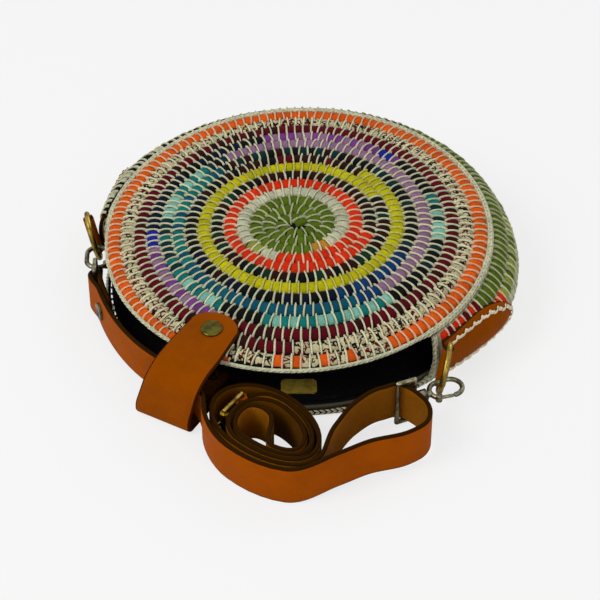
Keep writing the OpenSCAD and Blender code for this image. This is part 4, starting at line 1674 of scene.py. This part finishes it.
@dataclass(frozen=True)
class Patch:
    """A leather patch sewn over one end of the gusset.

    Attributes:
        side: The end that it covers.
        span: Angle that it covers, in degrees.
        half_height: Half its height at the widest place.
        thickness: Thickness of the leather.
        gap: Space between it and the cords under it.
        soft: How much thinner its edge is.
        end_share: Its height at the mouth, as a share.
        tip_share: Its height at the tip, as a share.
        stitch_in: Distance of the stitches from the edge.
        stitch_step: Distance between stitches.
    """

    side: Side
    span: float = 26.5
    half_height: float = 14.0
    thickness: float = 2.3
    gap: float = 0.2
    soft: float = 0.55
    end_share: float = 0.86
    tip_share: float = 0.16
    stitch_in: float = 3.0
    stitch_step: float = 3.4

    def height(self, u: Array) -> Array:
        """Half height at a share of the span."""
        near = self.end_share + (1 - self.end_share) * np.sin(np.pi * np.minimum(u, 0.5))
        far = np.maximum(self.tip_share, np.sqrt(np.clip(1 - ((u - 0.5) / 0.5) ** 2, 0, 1)))
        return self.half_height * np.where(u < 0.5, near, far)

    def skin(self, body: BodySize, u: Array, v: Array, lift: float) -> Array:
        """Points on the patch: u along it from the mouth, v from -1 to 1 up it, lift from its back."""
        start, way = (body.gusset_from, 1) if self.side is Side.RIGHT else (body.gusset_to, -1)
        angle = start + way * self.span * u
        low, high = body.gusset_low(), body.gusset_high(angle)
        z = (low + high) / 2 + self.height(u) * v
        return body.gusset(angle, (z - low) / (high - low), 1.0, body.relief + self.gap + lift)

    def build(self, body: BodySize, crochet: Crochet, hide: Hide) -> None:
        """Builds the patch and its zigzag stitches."""
        u, v = np.sin(np.linspace(0, np.pi / 2, 34)), np.sin(np.linspace(-np.pi / 2, np.pi / 2, 17))
        vv, uu = np.meshgrid(v, u)
        full = np.clip(1 - np.abs(vv) ** 14, 0, 1) * np.clip(1 - uu**30, 0, 1)
        back = self.skin(body, uu, vv, 0.0)
        away = unit(back * np.array([1, 1, 0]))
        outer = back + away * (self.thickness - self.soft + self.soft * full)[..., None]
        points, faces = between(outer, back)
        columns = len(v) - 1
        count = (len(u) - 1) * columns
        slots = [Cut.EDGE if k % columns in (0, columns - 1) else Cut.GRAIN for k in range(count)]
        slots += [Cut.FLESH] * count + [Cut.EDGE] * (len(faces) - 2 * count)
        name = self.side.value
        leather = make_piece(f"{name}_patch_leather", points, faces, hide.materials(), slots)
        stitches = self.stitches(body, crochet)
        ride_bag(leather, f"{name}_patch")
        ride_bag(stitches)

    def stitches(self, body: BodySize, crochet: Crochet) -> Object:
        """Lays the thick zigzag thread along the edge."""
        first, last, tip, zigzag, tint = 0.05, 0.93, 0.945, 0.42, srgb(240, 230, 200)
        thick, long, high = 2.3, self.stitch_step * 1.3, 1.5
        u = np.linspace(first, last, 60)
        v = 1 - self.stitch_in / np.maximum(self.height(u), 2.5)
        tip_v = np.linspace(v[-1], -v[-1], 12)[1:-1]
        ring_u = np.concatenate([u, np.full(len(tip_v), tip), u[::-1]])
        ring_v = np.concatenate([v, tip_v, -v[::-1]])
        ring = self.skin(body, ring_u, ring_v, self.thickness + 0.1)
        lengths = lengths_along(ring)
        n = int(lengths[-1] / self.stitch_step)
        at = (np.arange(n) + 0.5) * lengths[-1] / n
        place, ahead = sample(ring, lengths, at), sample(ring, lengths, np.minimum(at + 0.4, lengths[-1]))
        way = unit(ahead - sample(ring, lengths, np.maximum(at - 0.4, 0)))
        out = unit(place * np.array([1, 1, 0]))
        sign = np.where(np.arange(n) % 2, 1.0, -1.0)[:, None]
        slant = unit(way + sign * zigzag * np.cross(out, way))
        size = np.tile([thick, long, high], (n, 1))
        spots = Spots(place, axes(np.cross(slant, out), out), size, np.tile(tint, (n, 1)), np.zeros(n))
        return crochet.lay(f"{self.side.value}_patch_stitches", StitchShape.DASH, spots)


@dataclass(frozen=True)
class RingLoop:
    """The leather fold that holds a D-ring's bar.

    Attributes:
        side: The end of the mouth that it hangs at.
        past: Angle of the bar past the gusset's end, in degrees.
        turn: Turn of the ring, in degrees about X, Y and Z.
        spin: Turn of the fold about the bar.
        width: Width of the leather.
        leather: Thickness of the leather.
        wire: Radius of the ring's wire.
        play: Space between the leather and the wire.
        out: Distance of the bar from the gusset.
        tail: Length of the fold's two ends.
    """

    side: Side
    past: float
    turn: tuple[float, float, float]
    spin: float
    width: float = 24.0
    leather: float = 1.5
    wire: float = 1.6
    play: float = 0.08
    out: float = 4.95
    tail: float = 3.3

    def build(self, body: BodySize, hide: Hide) -> None:
        """Builds the fold."""
        angle = body.gusset_from - self.past if self.side is Side.RIGHT else body.gusset_to + self.past
        foot = body.gusset(np.array(body.gusset_from), np.array(0.5), 1.0, body.relief)
        r = float(np.hypot(foot[0], foot[1])) + self.out
        bar = np.array([*polar(r, angle), (body.gusset_low() + body.gusset_high(body.gusset_from)) / 2])
        bend = self.wire + self.play + self.leather / 2
        lean = math.degrees(math.acos(self.leather / 2 / bend))
        arc = np.radians(np.linspace(180 - lean, 360 + lean, 30))
        flat = np.stack([bend * np.cos(arc), bend * np.sin(arc)], -1)
        ends = np.linspace(self.tail, flat[0, 1] + 0.3, 4)
        left = np.stack([np.full(4, -self.leather / 2), ends], -1)
        right = np.stack([np.full(4, self.leather / 2), ends[::-1]], -1)
        path = np.concatenate([left, flat, right])
        way = unit(np.gradient(path, axis=0))
        grain = np.stack([way[:, 1], -way[:, 0], 0 * way[:, 0]], -1)
        middle = np.concatenate([path, np.zeros((len(path), 1))], 1)
        spin = turned(self.turn) @ turned((0, 0, self.spin))
        wide = np.tile(spin @ np.array([0, 0, 1.0]), (len(path), 1))
        name, half = self.side.value, np.full(len(path), self.width / 2)
        piece = leather_strip(
            f"{name}_ring_loop_leather", middle @ spin.T + bar, grain @ spin.T, wide, half, self.leather, hide
        )
        ride_bag(piece, f"{name}_ring_loop")


# Strap.

Knot = tuple[Array, float, float]
CLOCKWISE, ANTICLOCKWISE = ((0, 1), (1, 0), (0, -1), (-1, 0)), ((-1, 0), (0, -1), (1, 0), (0, 1))


def polar(r: float, angle: float) -> Array:
    """A flat point at a radius and an angle in degrees."""
    return np.array([r * math.cos(math.radians(angle)), r * math.sin(math.radians(angle))])


def span(a: Knot, b: Knot, steps: int) -> list[Array]:
    """Points of the curve from one knot to the next, without its end.

    Args:
        a: Place, heading in degrees and height of the first knot.
        b: The second knot.
        steps: Number of points.

    Returns:
        The points.
    """
    bend = (b[1] - a[1]) % 360
    bend = abs(bend - 360 if bend > 180 else bend)
    share = 1 / 3 if bend < 1 else 2 / 3 * math.tan(math.radians(bend / 4)) / math.sin(math.radians(bend / 2))
    h = float(np.linalg.norm(b[0] - a[0])) * share
    c = [a[0], a[0] + h * polar(1, a[1]), b[0] - h * polar(1, b[1]), b[0]]
    points = []
    for i in range(steps):
        t = i / steps
        s = 1 - t
        flat = s**3 * c[0] + 3 * s * s * t * c[1] + 3 * s * t * t * c[2] + t**3 * c[3]
        points.append(np.array([*flat, a[2] + (b[2] - a[2]) * float(ease(t))]))
    return points


@dataclass(frozen=True)
class StrapRoute:
    """The line that the strap follows: the free run round the roll and the roll itself.

    Attributes:
        rim_r: The rim's radius, which scales the line.
        wire: Radius of the hooks' wire.
        leather: Thickness of the strap.
        lift: Height of the strap's lower edge where it rides on the tab.
        left_base: The left hook's bar.
        right_base: The right hook's bar.
        fine: Number of points in each stretch.
        play: Space between the leather and a wire.
        centre: Middle of the roll, as shares of the rim's radius.
        roll_turn: Turn of the roll, in degrees.
        roll_share: Half the roll's length, as a share of the rim's radius.
        in_shares: Distances from the roll's middle after each quarter inwards, as shares of its half length.
        out_shares: The same outwards.
        outer_shares: The same for the strap's turn outside the roll.
        core_shares: Two points of the bend in the roll's core, as shares of its half length.
        core_headings: Headings there, in degrees.
    """

    rim_r: float
    wire: float
    leather: float
    lift: float
    left_base: Array
    right_base: Array
    fine: int = 12
    play: float = 0.08
    centre: Pair = (0.4732, -1.1768)
    roll_turn: float = -15.8
    roll_share: float = 0.36295
    in_shares: tuple[float, ...] = (0.649, 1, 0.546, 0.787, 0.566, 0.898, 0.4576, 0.433, 0.3862, 0.6937)
    out_shares: tuple[float, ...] = (0.342, 0.369, 0.7958, 0.476, 0.591)
    outer_shares: tuple[float, ...] = (0.8979, 0.6445, 1.1021)
    core_shares: tuple[Pair, Pair] = ((0.4428, -0.2214), (-0.0492, 0.1722))
    core_headings: Pair = (197, 170)

    @property
    def roll_half(self) -> float:
        """Half the roll's length."""
        return self.rim_r * self.roll_share

    def from_roll(self, p: Array) -> Array:
        """Moves a point from the roll's frame to the bag's."""
        c, s = polar(1, self.roll_turn)
        return np.array(self.centre) * self.rim_r + np.array([p[0] * c - p[1] * s, p[0] * s + p[1] * c])

    def quarter(self, shares: Sequence[float], ways: Sequence[tuple], k: int, t: float) -> Array:
        """A point of one quarter of an ellipse, in the roll's frame."""
        a, b = np.array(ways[k % len(ways)], float), np.array(ways[(k + 1) % len(ways)], float)
        turn = math.radians(t)
        return self.roll_half * (shares[k] * math.cos(turn) * a + shares[k + 1] * math.sin(turn) * b)

    def quarters(
        self, shares: Sequence[float], ways: Sequence[tuple], last: int, first_t: float, last_t: float
    ) -> list[Array]:
        """Points of several quarters, from the first to the last."""
        points = []
        for k in range(last + 1):
            a, b = (first_t if k == 0 else 0.0), (last_t if k == last else 90.0)
            points += [self.quarter(shares, ways, k, a + (b - a) * i / self.fine) for i in range(self.fine)]
        return points

    def outer(self, k: int, t: float) -> Array:
        """A point of the strap's turn outside the roll, in the bag's frame."""
        return self.from_roll(self.quarter(self.outer_shares, ANTICLOCKWISE, k, t))

    def roll(self) -> Array:
        """The roll's middle line in the bag's frame (n, 3)."""
        half, in_from, out_to = self.roll_half, 70.3, 63
        a = self.quarter(self.in_shares, CLOCKWISE, 8, 90)
        b, c = half * np.array(self.core_shares[0]), half * np.array(self.core_shares[1])
        d = half * self.out_shares[0] * np.array([-1.0, 0.0])
        first, second = self.core_headings
        core = [p[:2] for p in self.route([(a, 270, 0), (b, first, 0), (c, second, 0), (d, 270, 0)])]
        flat = self.quarters(self.in_shares, CLOCKWISE, 8, in_from, 90) + core
        flat += self.quarters(self.out_shares, ANTICLOCKWISE, 3, 0, out_to)
        flat.append(self.quarter(self.out_shares, ANTICLOCKWISE, 3, out_to))
        return np.array([[*self.from_roll(p), 0.0] for p in flat])

    def free(self) -> Array:
        """The free run's middle line in the bag's frame (n, 3)."""
        layer_gap, cross_gap, swing, leave, meet, steps = 0.15, 0.12, 2.2, 35, 50, 8
        wrap = self.wire + self.leather / 2 + self.play
        la = math.degrees(math.atan2(self.left_base[1], self.left_base[0]))
        inner = float(np.linalg.norm(self.left_base)) - wrap
        outer, lift = inner + self.leather + layer_gap, self.lift
        cross = self.right_base + (self.wire + self.leather / 2 + cross_gap) * polar(1, 100)
        left = [
            (polar(inner, -127), -217, lift),
            (self.left_base - wrap * polar(1, la), la - 90, lift),
            (self.left_base + wrap * polar(1, la - 90), la, lift),
            (self.left_base + wrap * polar(1, la), la + 90, lift),
            (polar(outer, -132.5), -42.5, lift),
            (polar(outer + swing, -104), -16, lift),
            (self.outer(0, leave), -61.6, lift),
        ]
        up = (
            ((0.9063, -1.192), 56, 0.5), ((1.0045, -1.058), 50, 0.9), ((1.1339, -0.9196), 60, 1),
            ((1.1714, -0.8036), 97, 1), ((1.0937, -0.6902), 152, 1),
        )
        down = (((0.8795, -0.7187), 226, 1), ((0.8054, -0.8661), 257, 0.5), ((0.7911, -1.0268), 270, 0))
        start = self.from_roll(self.quarter(self.in_shares, CLOCKWISE, 0, 70))
        right = [(self.outer(1, meet), 19.1, 0.0), *self.scaled(up), (cross, 190, lift)]
        right += [*self.scaled(down), (start, -76.4, 0.0)]
        points = self.route(left)
        for i in range(steps):
            place = self.outer(0, leave + (90 - leave) * i / steps)
            points.append(np.array([*place, lift * (1 - float(ease(i / steps)))]))
        points += [np.array([*self.outer(1, t), 0.0]) for t in range(0, meet, 10)]
        return np.array(points + self.route(right))

    def scaled(self, knots: Sequence[tuple]) -> list[Knot]:
        """Knots that are given in shares of the rim's radius and of the lift."""
        return [(self.rim_r * np.array(p), a, self.lift * z) for p, a, z in knots]

    def route(self, knots: Sequence[Knot]) -> list[Array]:
        """Points of the curve through several knots, without its end."""
        points = []
        for a, b in zip(knots, knots[1:]):
            points += span(a, b, self.fine)
        return points


@dataclass(frozen=True)
class Strap:
    """The shoulder strap: one piece of leather, with a fold round the buckle's bar.

    Attributes:
        route: The line that it follows.
        width: Width of the strap.
        fold_r: Radius of the fold round the buckle's bar.
        fold_w: Width of that fold.
        slot_half: Half the slot in it for the prong.
        buckle_wire: Radius of the buckle's wire.
        buckle_z: Height of the buckle's middle.
    """

    route: StrapRoute
    width: float = 25.0
    fold_r: float = 3.4
    fold_w: float = 19.0
    slot_half: float = 1.9
    buckle_wire: float = 1.3
    buckle_z: float = 12.8

    def build(self, hide: Hide) -> None:
        """Builds the strap and its end fold."""
        least_step, taper, cut = 0.15, 8, 0.6
        free, roll = self.route.free(), self.route.roll()
        path = np.concatenate([free, roll])
        step = np.linalg.norm(np.diff(path[:, :2], axis=0), axis=1)
        path = path[np.concatenate([[True], step > least_step])]
        LOG.info("strap: %.0f mm of free run, %.0f mm in the roll", line_length(free), line_length(roll))
        flat = unit(np.gradient(path[:, :2], axis=0))
        grain = np.stack([flat[:, 1], -flat[:, 0], 0 * flat[:, 0]], -1)
        middle = path + np.array([0, 0, self.width / 2])
        wide = np.tile(np.array([0, 0, 1.0]), (len(path), 1))
        half = np.full(len(path), self.width / 2)
        near_end = ease(np.linspace(0, 1, taper))
        half[-taper:] += (self.fold_w / 2 - self.width / 2) * near_end
        middle[-taper:, 2] += (self.buckle_z - self.width / 2) * near_end
        # From the roll's start the grain face is darker: painted shade inside the roll.
        roll_shade_from = int(np.argmin(np.linalg.norm(path - roll[0], axis=1)))
        band = leather_strip(
            "strap_leather_band", middle, grain, wide, half, self.route.leather, hide, roll_shade_from
        )
        ride_bag(band, "shoulder_strap", "strap_roll")
        inner, outer = self.buckle_wire + self.route.play, self.fold_r
        heel = path[-1, :2] + (inner + self.route.leather / 2) * flat[-1]
        for sign in (-1, 1):
            low, high = sorted((sign * self.slot_half, sign * self.fold_w / 2))
            profile = [(inner, low), (outer - cut, low), (outer, low + cut), (outer, high - cut)]
            profile += [(outer - cut, high), (inner, high)]
            points, faces = lathe(np.array(profile), 40)
            points = points + np.array([*heel, self.buckle_z])
            side = "upper" if sign > 0 else "lower"
            fold = make_piece(f"strap_end_fold_{side}", points, faces, [hide.grain])
            ride_bag(fold)


def line_length(points: Array) -> float:
    """Length of a line of points."""
    return float(np.linalg.norm(np.diff(points, axis=0), axis=1).sum())


# Closure.


def arc(centre: Array, r: float, a: float, b: float, n: int) -> list[Array]:
    """Points of an arc of radius r from angle a to angle b, in n steps."""
    return [centre + polar(r, a + (b - a) * i / n) for i in range(n + 1)]


@dataclass(frozen=True)
class ClosureTab:
    """The snap tab: one leather strip from the lining, round the back edging and over the mouth.

    Attributes:
        leather: Thickness of the leather.
        foot_w: Width at the bottom.
        crest_w: Width at the crest.
        tip_w: Width of the end.
        snap_x: Place of the snap along X.
        foot_x: Place of the tab's bottom along X.
        reach: How far the tab stands out past the rim.
        lean: Slope of its rising part, in degrees.
        crest_r: Radius of its bend over the mouth.
        flap_gap: Space between the flap and the front panel's cords.
        snap_inset: Distance of the snap from the rim.
        split_past: Distance past the rim where the flap starts.
        tip_past: Length of the flap past the snap, to its straight end.
        lining: Height of the lining and its spaces over the back panel.
        ends: Distances of its two inner points from the rim.
        bends: Reach and height of the two places between which the tab would bend when the flap lifts; not
            used.
    """

    leather: float = 2.6
    foot_w: float = 35.0
    crest_w: float = 33.0
    tip_w: float = 30.0
    snap_x: float = 0.8
    foot_x: float = -6.0
    reach: float = 23.7
    lean: float = 96.0
    crest_r: float = 15.0
    flap_gap: float = 1.25
    snap_inset: float = 15.0
    split_past: float = 4.0
    tip_past: float = 13.0
    lining: float = 1.4
    ends: Pair = (16.0, 8.0)
    bends: tuple[Pair, Pair] = ((-125.0, 33.6), (-120.7, 42.1))

    def flap_z(self, body: BodySize) -> float:
        """Height of the flap's middle in the front panel's frame."""
        dome = float(body.dome_z(body.rim_r - self.snap_inset))
        return dome + body.relief + self.flap_gap + self.leather / 2

    def profile(self, body: BodySize) -> tuple[Array, float]:
        """The tab's middle line up to the flap.

        Args:
            body: The body's sizes.

        Returns:
            Points of reach towards -Y and height, and the height of the crest.
        """
        t = self.leather
        in_z = body.back_wall + self.lining + t / 2
        rim_turn, foot_turn, heel_turn = 6.0, 2.5, 3.5
        rim_u, rim_z = body.rim_r - body.edge_r, in_z - rim_turn
        foot_z = t / 2 + foot_turn
        foot_u = rim_u + math.sqrt((rim_turn + foot_turn) ** 2 - (foot_z - rim_z) ** 2)
        rim_a = math.degrees(math.atan2(foot_z - rim_z, foot_u - rim_u))
        heel = np.array([body.rim_r + self.reach, t / 2 + heel_turn])
        heel_end = heel + polar(heel_turn, self.lean - 90)
        mid, lean = self.flap_z(body), math.radians(body.tilt)
        top = np.array([mid * math.sin(lean), body.rim_h + mid * math.cos(lean)])
        way = 180 - body.tilt
        down = polar(1, way + 90)
        gap = (heel_end + self.crest_r * polar(1, self.lean + 90) - top) @ down
        rise = (self.crest_r - gap) / (polar(1, self.lean) @ down)
        crest = heel_end + rise * polar(1, self.lean) + self.crest_r * polar(1, self.lean + 90)
        split = top - (body.rim_r + self.split_past + 0.15) * polar(1, way)

        line = [np.array([body.rim_r - end, in_z]) for end in self.ends]
        line += arc(np.array([rim_u, rim_z]), rim_turn, 90, rim_a, 8)
        line += arc(np.array([foot_u, foot_z]), foot_turn, 180 + rim_a, 270, 8)
        line += arc(heel, heel_turn, -90, self.lean - 90, 10)
        line += [heel_end + rise * k / 8 * polar(1, self.lean) for k in range(1, 8)]
        line += arc(crest, self.crest_r, self.lean - 90, way - 90, 20)
        line += [split]
        keep = [line[0]]
        for p in line[1:]:
            if np.linalg.norm(p - keep[-1]) > 0.2:
                keep.append(p)
        return np.array(keep), float(crest[1] + self.crest_r)

    def build(self, body: BodySize, hide: Hide) -> None:
        """Builds the tab as one piece that bends at the crest."""
        line, crest_z = self.profile(body)
        in_z = line[0, 1]
        rise = np.clip((line[:, 1] - in_z) / (crest_z - in_z), 0, 1)
        x = self.foot_x + (self.snap_x - self.foot_x) * rise
        half = (self.foot_w + (self.crest_w - self.foot_w) * rise) / 2
        middle = np.stack([x, -line[:, 0], line[:, 1]], -1)
        near, shoulder = body.rim_r + self.split_past, body.rim_r - self.snap_inset - self.tip_past
        tip_half = self.tip_w / 2
        round_len = tip_half * 0.75
        straight_to = shoulder + round_len
        reach = list(np.linspace(near - 0.6, straight_to, 9))
        widths = list(np.linspace(self.crest_w / 2, tip_half, 9))
        for a in np.linspace(6, 88, 14):
            reach.append(straight_to - round_len * math.sin(math.radians(a)))
            widths.append(tip_half * math.cos(math.radians(a)) + 0.25)
        flap = [(self.snap_x, -r, self.flap_z(body)) for r in reach]
        middle = np.concatenate([middle, body.front(flap)])
        half = np.concatenate([half, widths])
        way = unit(np.gradient(middle * np.array([0, 1, 1]), axis=0))
        grain = np.stack([0 * way[:, 0], way[:, 2], -way[:, 1]], -1)
        grain = grain * np.where(grain[-1:, 2] > 0, 1.0, -1.0)
        wide = np.tile(np.array([1.0, 0, 0]), (len(middle), 1))
        piece = leather_strip("closure_tab_leather", middle, grain, wide, half, self.leather, hide)
        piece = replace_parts(piece, "closure_tab", "closure_flap")
        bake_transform(piece)


# Metal.


def dress_metal(frame: dict, finishes: Finishes) -> None:
    """Gives the metal pieces, which keep the CAD's shape, their finishes.

    Args:
        finishes: The materials.
    """
    metals = {"brass": finishes.brass, "old_brass": finishes.old_brass, "dark_steel": finishes.dark_steel}
    for part in frame["record"]["subparts"]:
        name, finish = part["node"], metals.get(part["material_slot"])
        if finish is None or name not in frame["nodes"]:
            continue
        finish = finishes.plate if name in ("label_plate", "plate_rivets") else finish
        materials = frame["nodes"][name].data.materials
        for k in range(len(materials)):
            materials[k] = finish
        if not len(materials):
            materials.append(finish)


# Studio.


@dataclass(frozen=True)
class Lamp:
    """A soft area lamp.

    Attributes:
        name: Name of the lamp.
        place: Where it stands, in metres.
        size: Width of its square, in metres.
        power: Power in watts.
        tint: Colour of its light.
    """

    name: str
    place: tuple[float, float, float]
    size: float
    power: float
    tint: Rgb = (1.0, 1.0, 1.0)

    def build(self, target: Vector) -> None:
        """Hangs the lamp, turned to the target."""
        light = bpy.data.lights.new(self.name, "AREA")
        light.size, light.energy, light.color = self.size, self.power, self.tint
        lamp = bpy.data.objects.new(self.name, light)
        lamp.location = self.place
        lamp.rotation_euler = (target - Vector(self.place)).to_track_quat("-Z", "Y").to_euler()
        bpy.context.scene.collection.objects.link(lamp)


@dataclass(frozen=True)
class Studio:
    """A white room: floor, light and camera.

    Attributes:
        backdrop: Tone of the white that the camera sees.
        glow: Part of that tone that no shadow darkens.
        lit: Light that falls on the open floor.
        sky: Strength of the light from all round.
        lamps: The lamps.
        distance: Distance of the camera from its target, in metres.
        target: Place that the lamps and the camera are turned to, in metres.
        back: Direction from the target to the camera.
        right: Direction of the picture's right side.
        lens: Focal length.
        sensor: Width of the sensor.
        shift: Shift of the picture.
    """

    backdrop: Rgb = srgb(246, 246, 246)
    glow: float = 0.8
    lit: float = 0.82
    sky: float = 0.38
    lamps: tuple[Lamp, ...] = (
        Lamp("key lamp", (-0.62, -0.95, 1.15), 0.8, 11.0),
        Lamp("fill lamp", (1.0, -0.6, 0.7), 0.9, 2.2),
        Lamp("back lamp", (0.3, 1.1, 0.9), 0.8, 3.6),
    )
    distance: float = 1.2
    target: tuple[float, float, float] = (0.0, 0.0, 0.020)
    back: tuple[float, float, float] = (0.3789, -0.6697, 0.6388)
    right: tuple[float, float, float] = (0.870, 0.492, 0.0)
    lens: float = 122.3
    sensor: float = 36.0
    shift: tuple[float, float] = (0.0042, -0.0695)

    def build(self) -> None:
        """Builds the room."""
        for lamp in self.lamps:
            lamp.build(Vector(self.target))
        self.world()
        self.floor()
        self.camera()
        bpy.context.scene.view_settings.view_transform = "Standard"

    @staticmethod
    def seen(w: Shader) -> NodeSocket:
        """1 for a ray that shows the backdrop itself: from the camera, a mirror or through glass."""
        path = w.node("ShaderNodeLightPath")
        either = w.maths("MAXIMUM", path.outputs["Is Camera Ray"], path.outputs["Is Glossy Ray"])
        return w.maths("MAXIMUM", either, path.outputs["Is Transmission Ray"])

    def world(self) -> None:
        """Lights the room from all round."""
        world = bpy.data.worlds.new("white room")
        bpy.context.scene.world = world
        world.use_nodes = True
        w = Shader(world.node_tree)
        ground = world.node_tree.nodes["Background"]
        w.link(w.mix(self.seen(w), (1, 1, 1), self.backdrop), ground.inputs["Color"])
        strength = w.maths("MULTIPLY_ADD", self.seen(w), 1.0 - self.sky, self.sky)
        w.link(strength, ground.inputs["Strength"])

    def floor(self) -> None:
        """Lays a wide white floor that only takes a faint shadow."""
        half, drop, tone = 6.0 / MM, 0.05, (0.85, 0.85, 0.85)
        corners = [(x * half, y * half, -drop) for x, y in ((-1, -1), (1, -1), (1, 1), (-1, 1))]
        material, w, shader = new_material("white floor")
        w.feed_all(shader, {"Base Color": tone, "Roughness": 1.0, "Specular IOR Level": 0.0})
        output = next(n for n in material.node_tree.nodes if n.type == "OUTPUT_MATERIAL")
        glow = w.node("ShaderNodeEmission")
        w.feed_all(glow, {"Color": self.backdrop, "Strength": self.glow})
        dull = w.node("ShaderNodeBsdfDiffuse")
        w.feed_all(dull, {"Color": tuple(v * (1 - self.glow) / self.lit for v in self.backdrop)})
        both = w.node("ShaderNodeAddShader")
        w.link(glow.outputs[0], both.inputs[0])
        w.link(dull.outputs[0], both.inputs[1])
        pick = w.node("ShaderNodeMixShader")
        w.link(w.node("ShaderNodeLightPath").outputs["Is Camera Ray"], pick.inputs[0])
        w.link(shader.outputs[0], pick.inputs[1])
        w.link(both.outputs[0], pick.inputs[2])
        w.link(pick.outputs[0], output.inputs["Surface"])
        make_piece("studio_floor", corners, [(0, 1, 2, 3)], [material], closed=False)

    def camera(self) -> None:
        """Stands the camera where the photo was taken."""
        data = bpy.data.cameras.new("camera")
        data.lens, data.sensor_width = self.lens, self.sensor
        data.shift_x, data.shift_y = self.shift
        camera = bpy.data.objects.new("camera", data)
        back, right = Vector(self.back).normalized(), Vector(self.right).normalized()
        up = back.cross(right)
        turn = Matrix((right, up, back)).transposed().to_4x4()
        camera.matrix_world = Matrix.Translation(Vector(self.target) + back * self.distance) @ turn
        bpy.context.scene.collection.objects.link(camera)
        bpy.context.scene.camera = camera


# The bag.


@dataclass(frozen=True)
class CircleBag:
    """The whole bag.

    Attributes:
        body: Sizes of the crochet body.
    """

    body: BodySize = BodySize()

    def build(self, frame: dict) -> None:
        """Builds every piece in the CAD's frame.
        """
        finishes = Finishes()
        crochet = Crochet(finishes)
        tan = Hide(finishes.tan, finishes.tan_flesh, finishes.tan_edge)
        belt = Hide(finishes.strap, finishes.strap_flesh, finishes.strap_edge, finishes.strap_rolled)
        self.crochet_body(crochet)
        Linings().build(self.body, finishes)
        for side in Side:
            Patch(side).build(self.body, crochet, tan)
        for loop in (
            RingLoop(Side.RIGHT, past=2.0, turn=(-17, 9.2, 21.8), spin=-39.3),
            RingLoop(Side.LEFT, past=1.4, turn=(-11.4, -11.5, 39.2), spin=-21.7),
        ):
            loop.build(self.body, tan)
        route = StrapRoute(
            rim_r=self.body.rim_r,
            wire=1.4,
            leather=2.6,
            lift=3.2,
            left_base=np.array([-90.311, -77.958]),
            right_base=np.array([105.926, -76.484]),
        )
        Strap(route).build(belt)
        ClosureTab().build(self.body, tan)
        dress_metal(frame, finishes)
        crochet.clear()

    def crochet_body(self, crochet: Crochet) -> None:
        """Builds the panels and the gusset."""
        body, stitch, step, coil_start = self.body, StitchSize(), 5.0, 29.5
        snap_x, snap_inset, snap_r = 0.8, 15.0, 6.6
        front = Coil(FRONT_COIL, coil_start, step, body.rows, body.panel_r + 0.6, 11, (0.0, -2.8), crowd=0.22)
        back = Coil(BACK_COIL, coil_start, step, body.rows, body.panel_r, 12)
        for part in (
            CoiledPanel(Face.FRONT, front, stitch, (snap_x, snap_inset - body.rim_r, snap_r)),
            CoiledPanel(Face.BACK, back, stitch),
            Gusset(GUSSET_ROWS, step, StitchSize(height=2.1), seed=13),
        ):
            part.build(body, crochet)
        self.rim_edgings(crochet)
        self.end_edgings(crochet)

    def rim_edgings(self, crochet: Crochet) -> None:
        """Builds the edgings of the two panels: the front one thinner at the mouth, the back one's core
        painted black there as shade below its top chain.
        """
        body, n, fade, thinner = self.body, 180, 8.0, 0.4
        turn = 2 * np.pi * np.arange(n) / n
        gap = np.abs((np.degrees(turn) + 90 + 180) % 360 - 180) - body.mouth / 2
        at_mouth = 1 - ease((gap + fade) / fade)
        thin = 1 - thinner * at_mouth
        way = np.stack([np.cos(turn), np.sin(turn), 0 * turn], -1)
        up = np.tile(np.array([0, 0, 1.0]), (n, 1))
        ring = way * (body.rim_r - (1 - thin) * body.edge_r)[:, None]
        path = body.front(ring)
        edging = Edging("front_edging", "front_edge", 21)
        edging.build(path, body.front(ring + up) - path, body.edge_r * thin, crochet)
        path = way * body.rim_r + up * body.edge_r
        edging = Edging("back_edging", "back_edge", 22)
        edging.build(path, up, np.full(n, body.edge_r), crochet, at_mouth)

    def end_edgings(self, crochet: Crochet) -> None:
        """Builds the edgings of the gusset's two ends."""
        body, n, r = self.body, 16, 1.8
        for name, at, away, seed in (("left", body.gusset_to, 1, 23), ("right", body.gusset_from, -1, 24)):
            line = body.gusset(np.full(n, at), np.linspace(0, 1, n), 0.0, body.relief / 2)
            c, s = polar(1, away * (r + body.seam) * 180 / math.pi / body.rim_r)
            x, y = line[:, 0] * c - line[:, 1] * s, line[:, 0] * s + line[:, 1] * c
            line = np.stack([x, y, line[:, 2]], -1)
            edging = Edging(f"{name}_end_edging", f"{name}_end_edge", seed, closed=False)
            edging.build(line, unit(line * np.array([1, 1, 0])), np.full(n, r), crochet)


def main() -> None:
    """Builds the bag and its studio."""
    logging.basicConfig(level=logging.INFO, format="%(name)s: %(message)s")
    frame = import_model()
    CircleBag().build(frame)
    Studio().build()


if __name__ == "__main__":
    main()
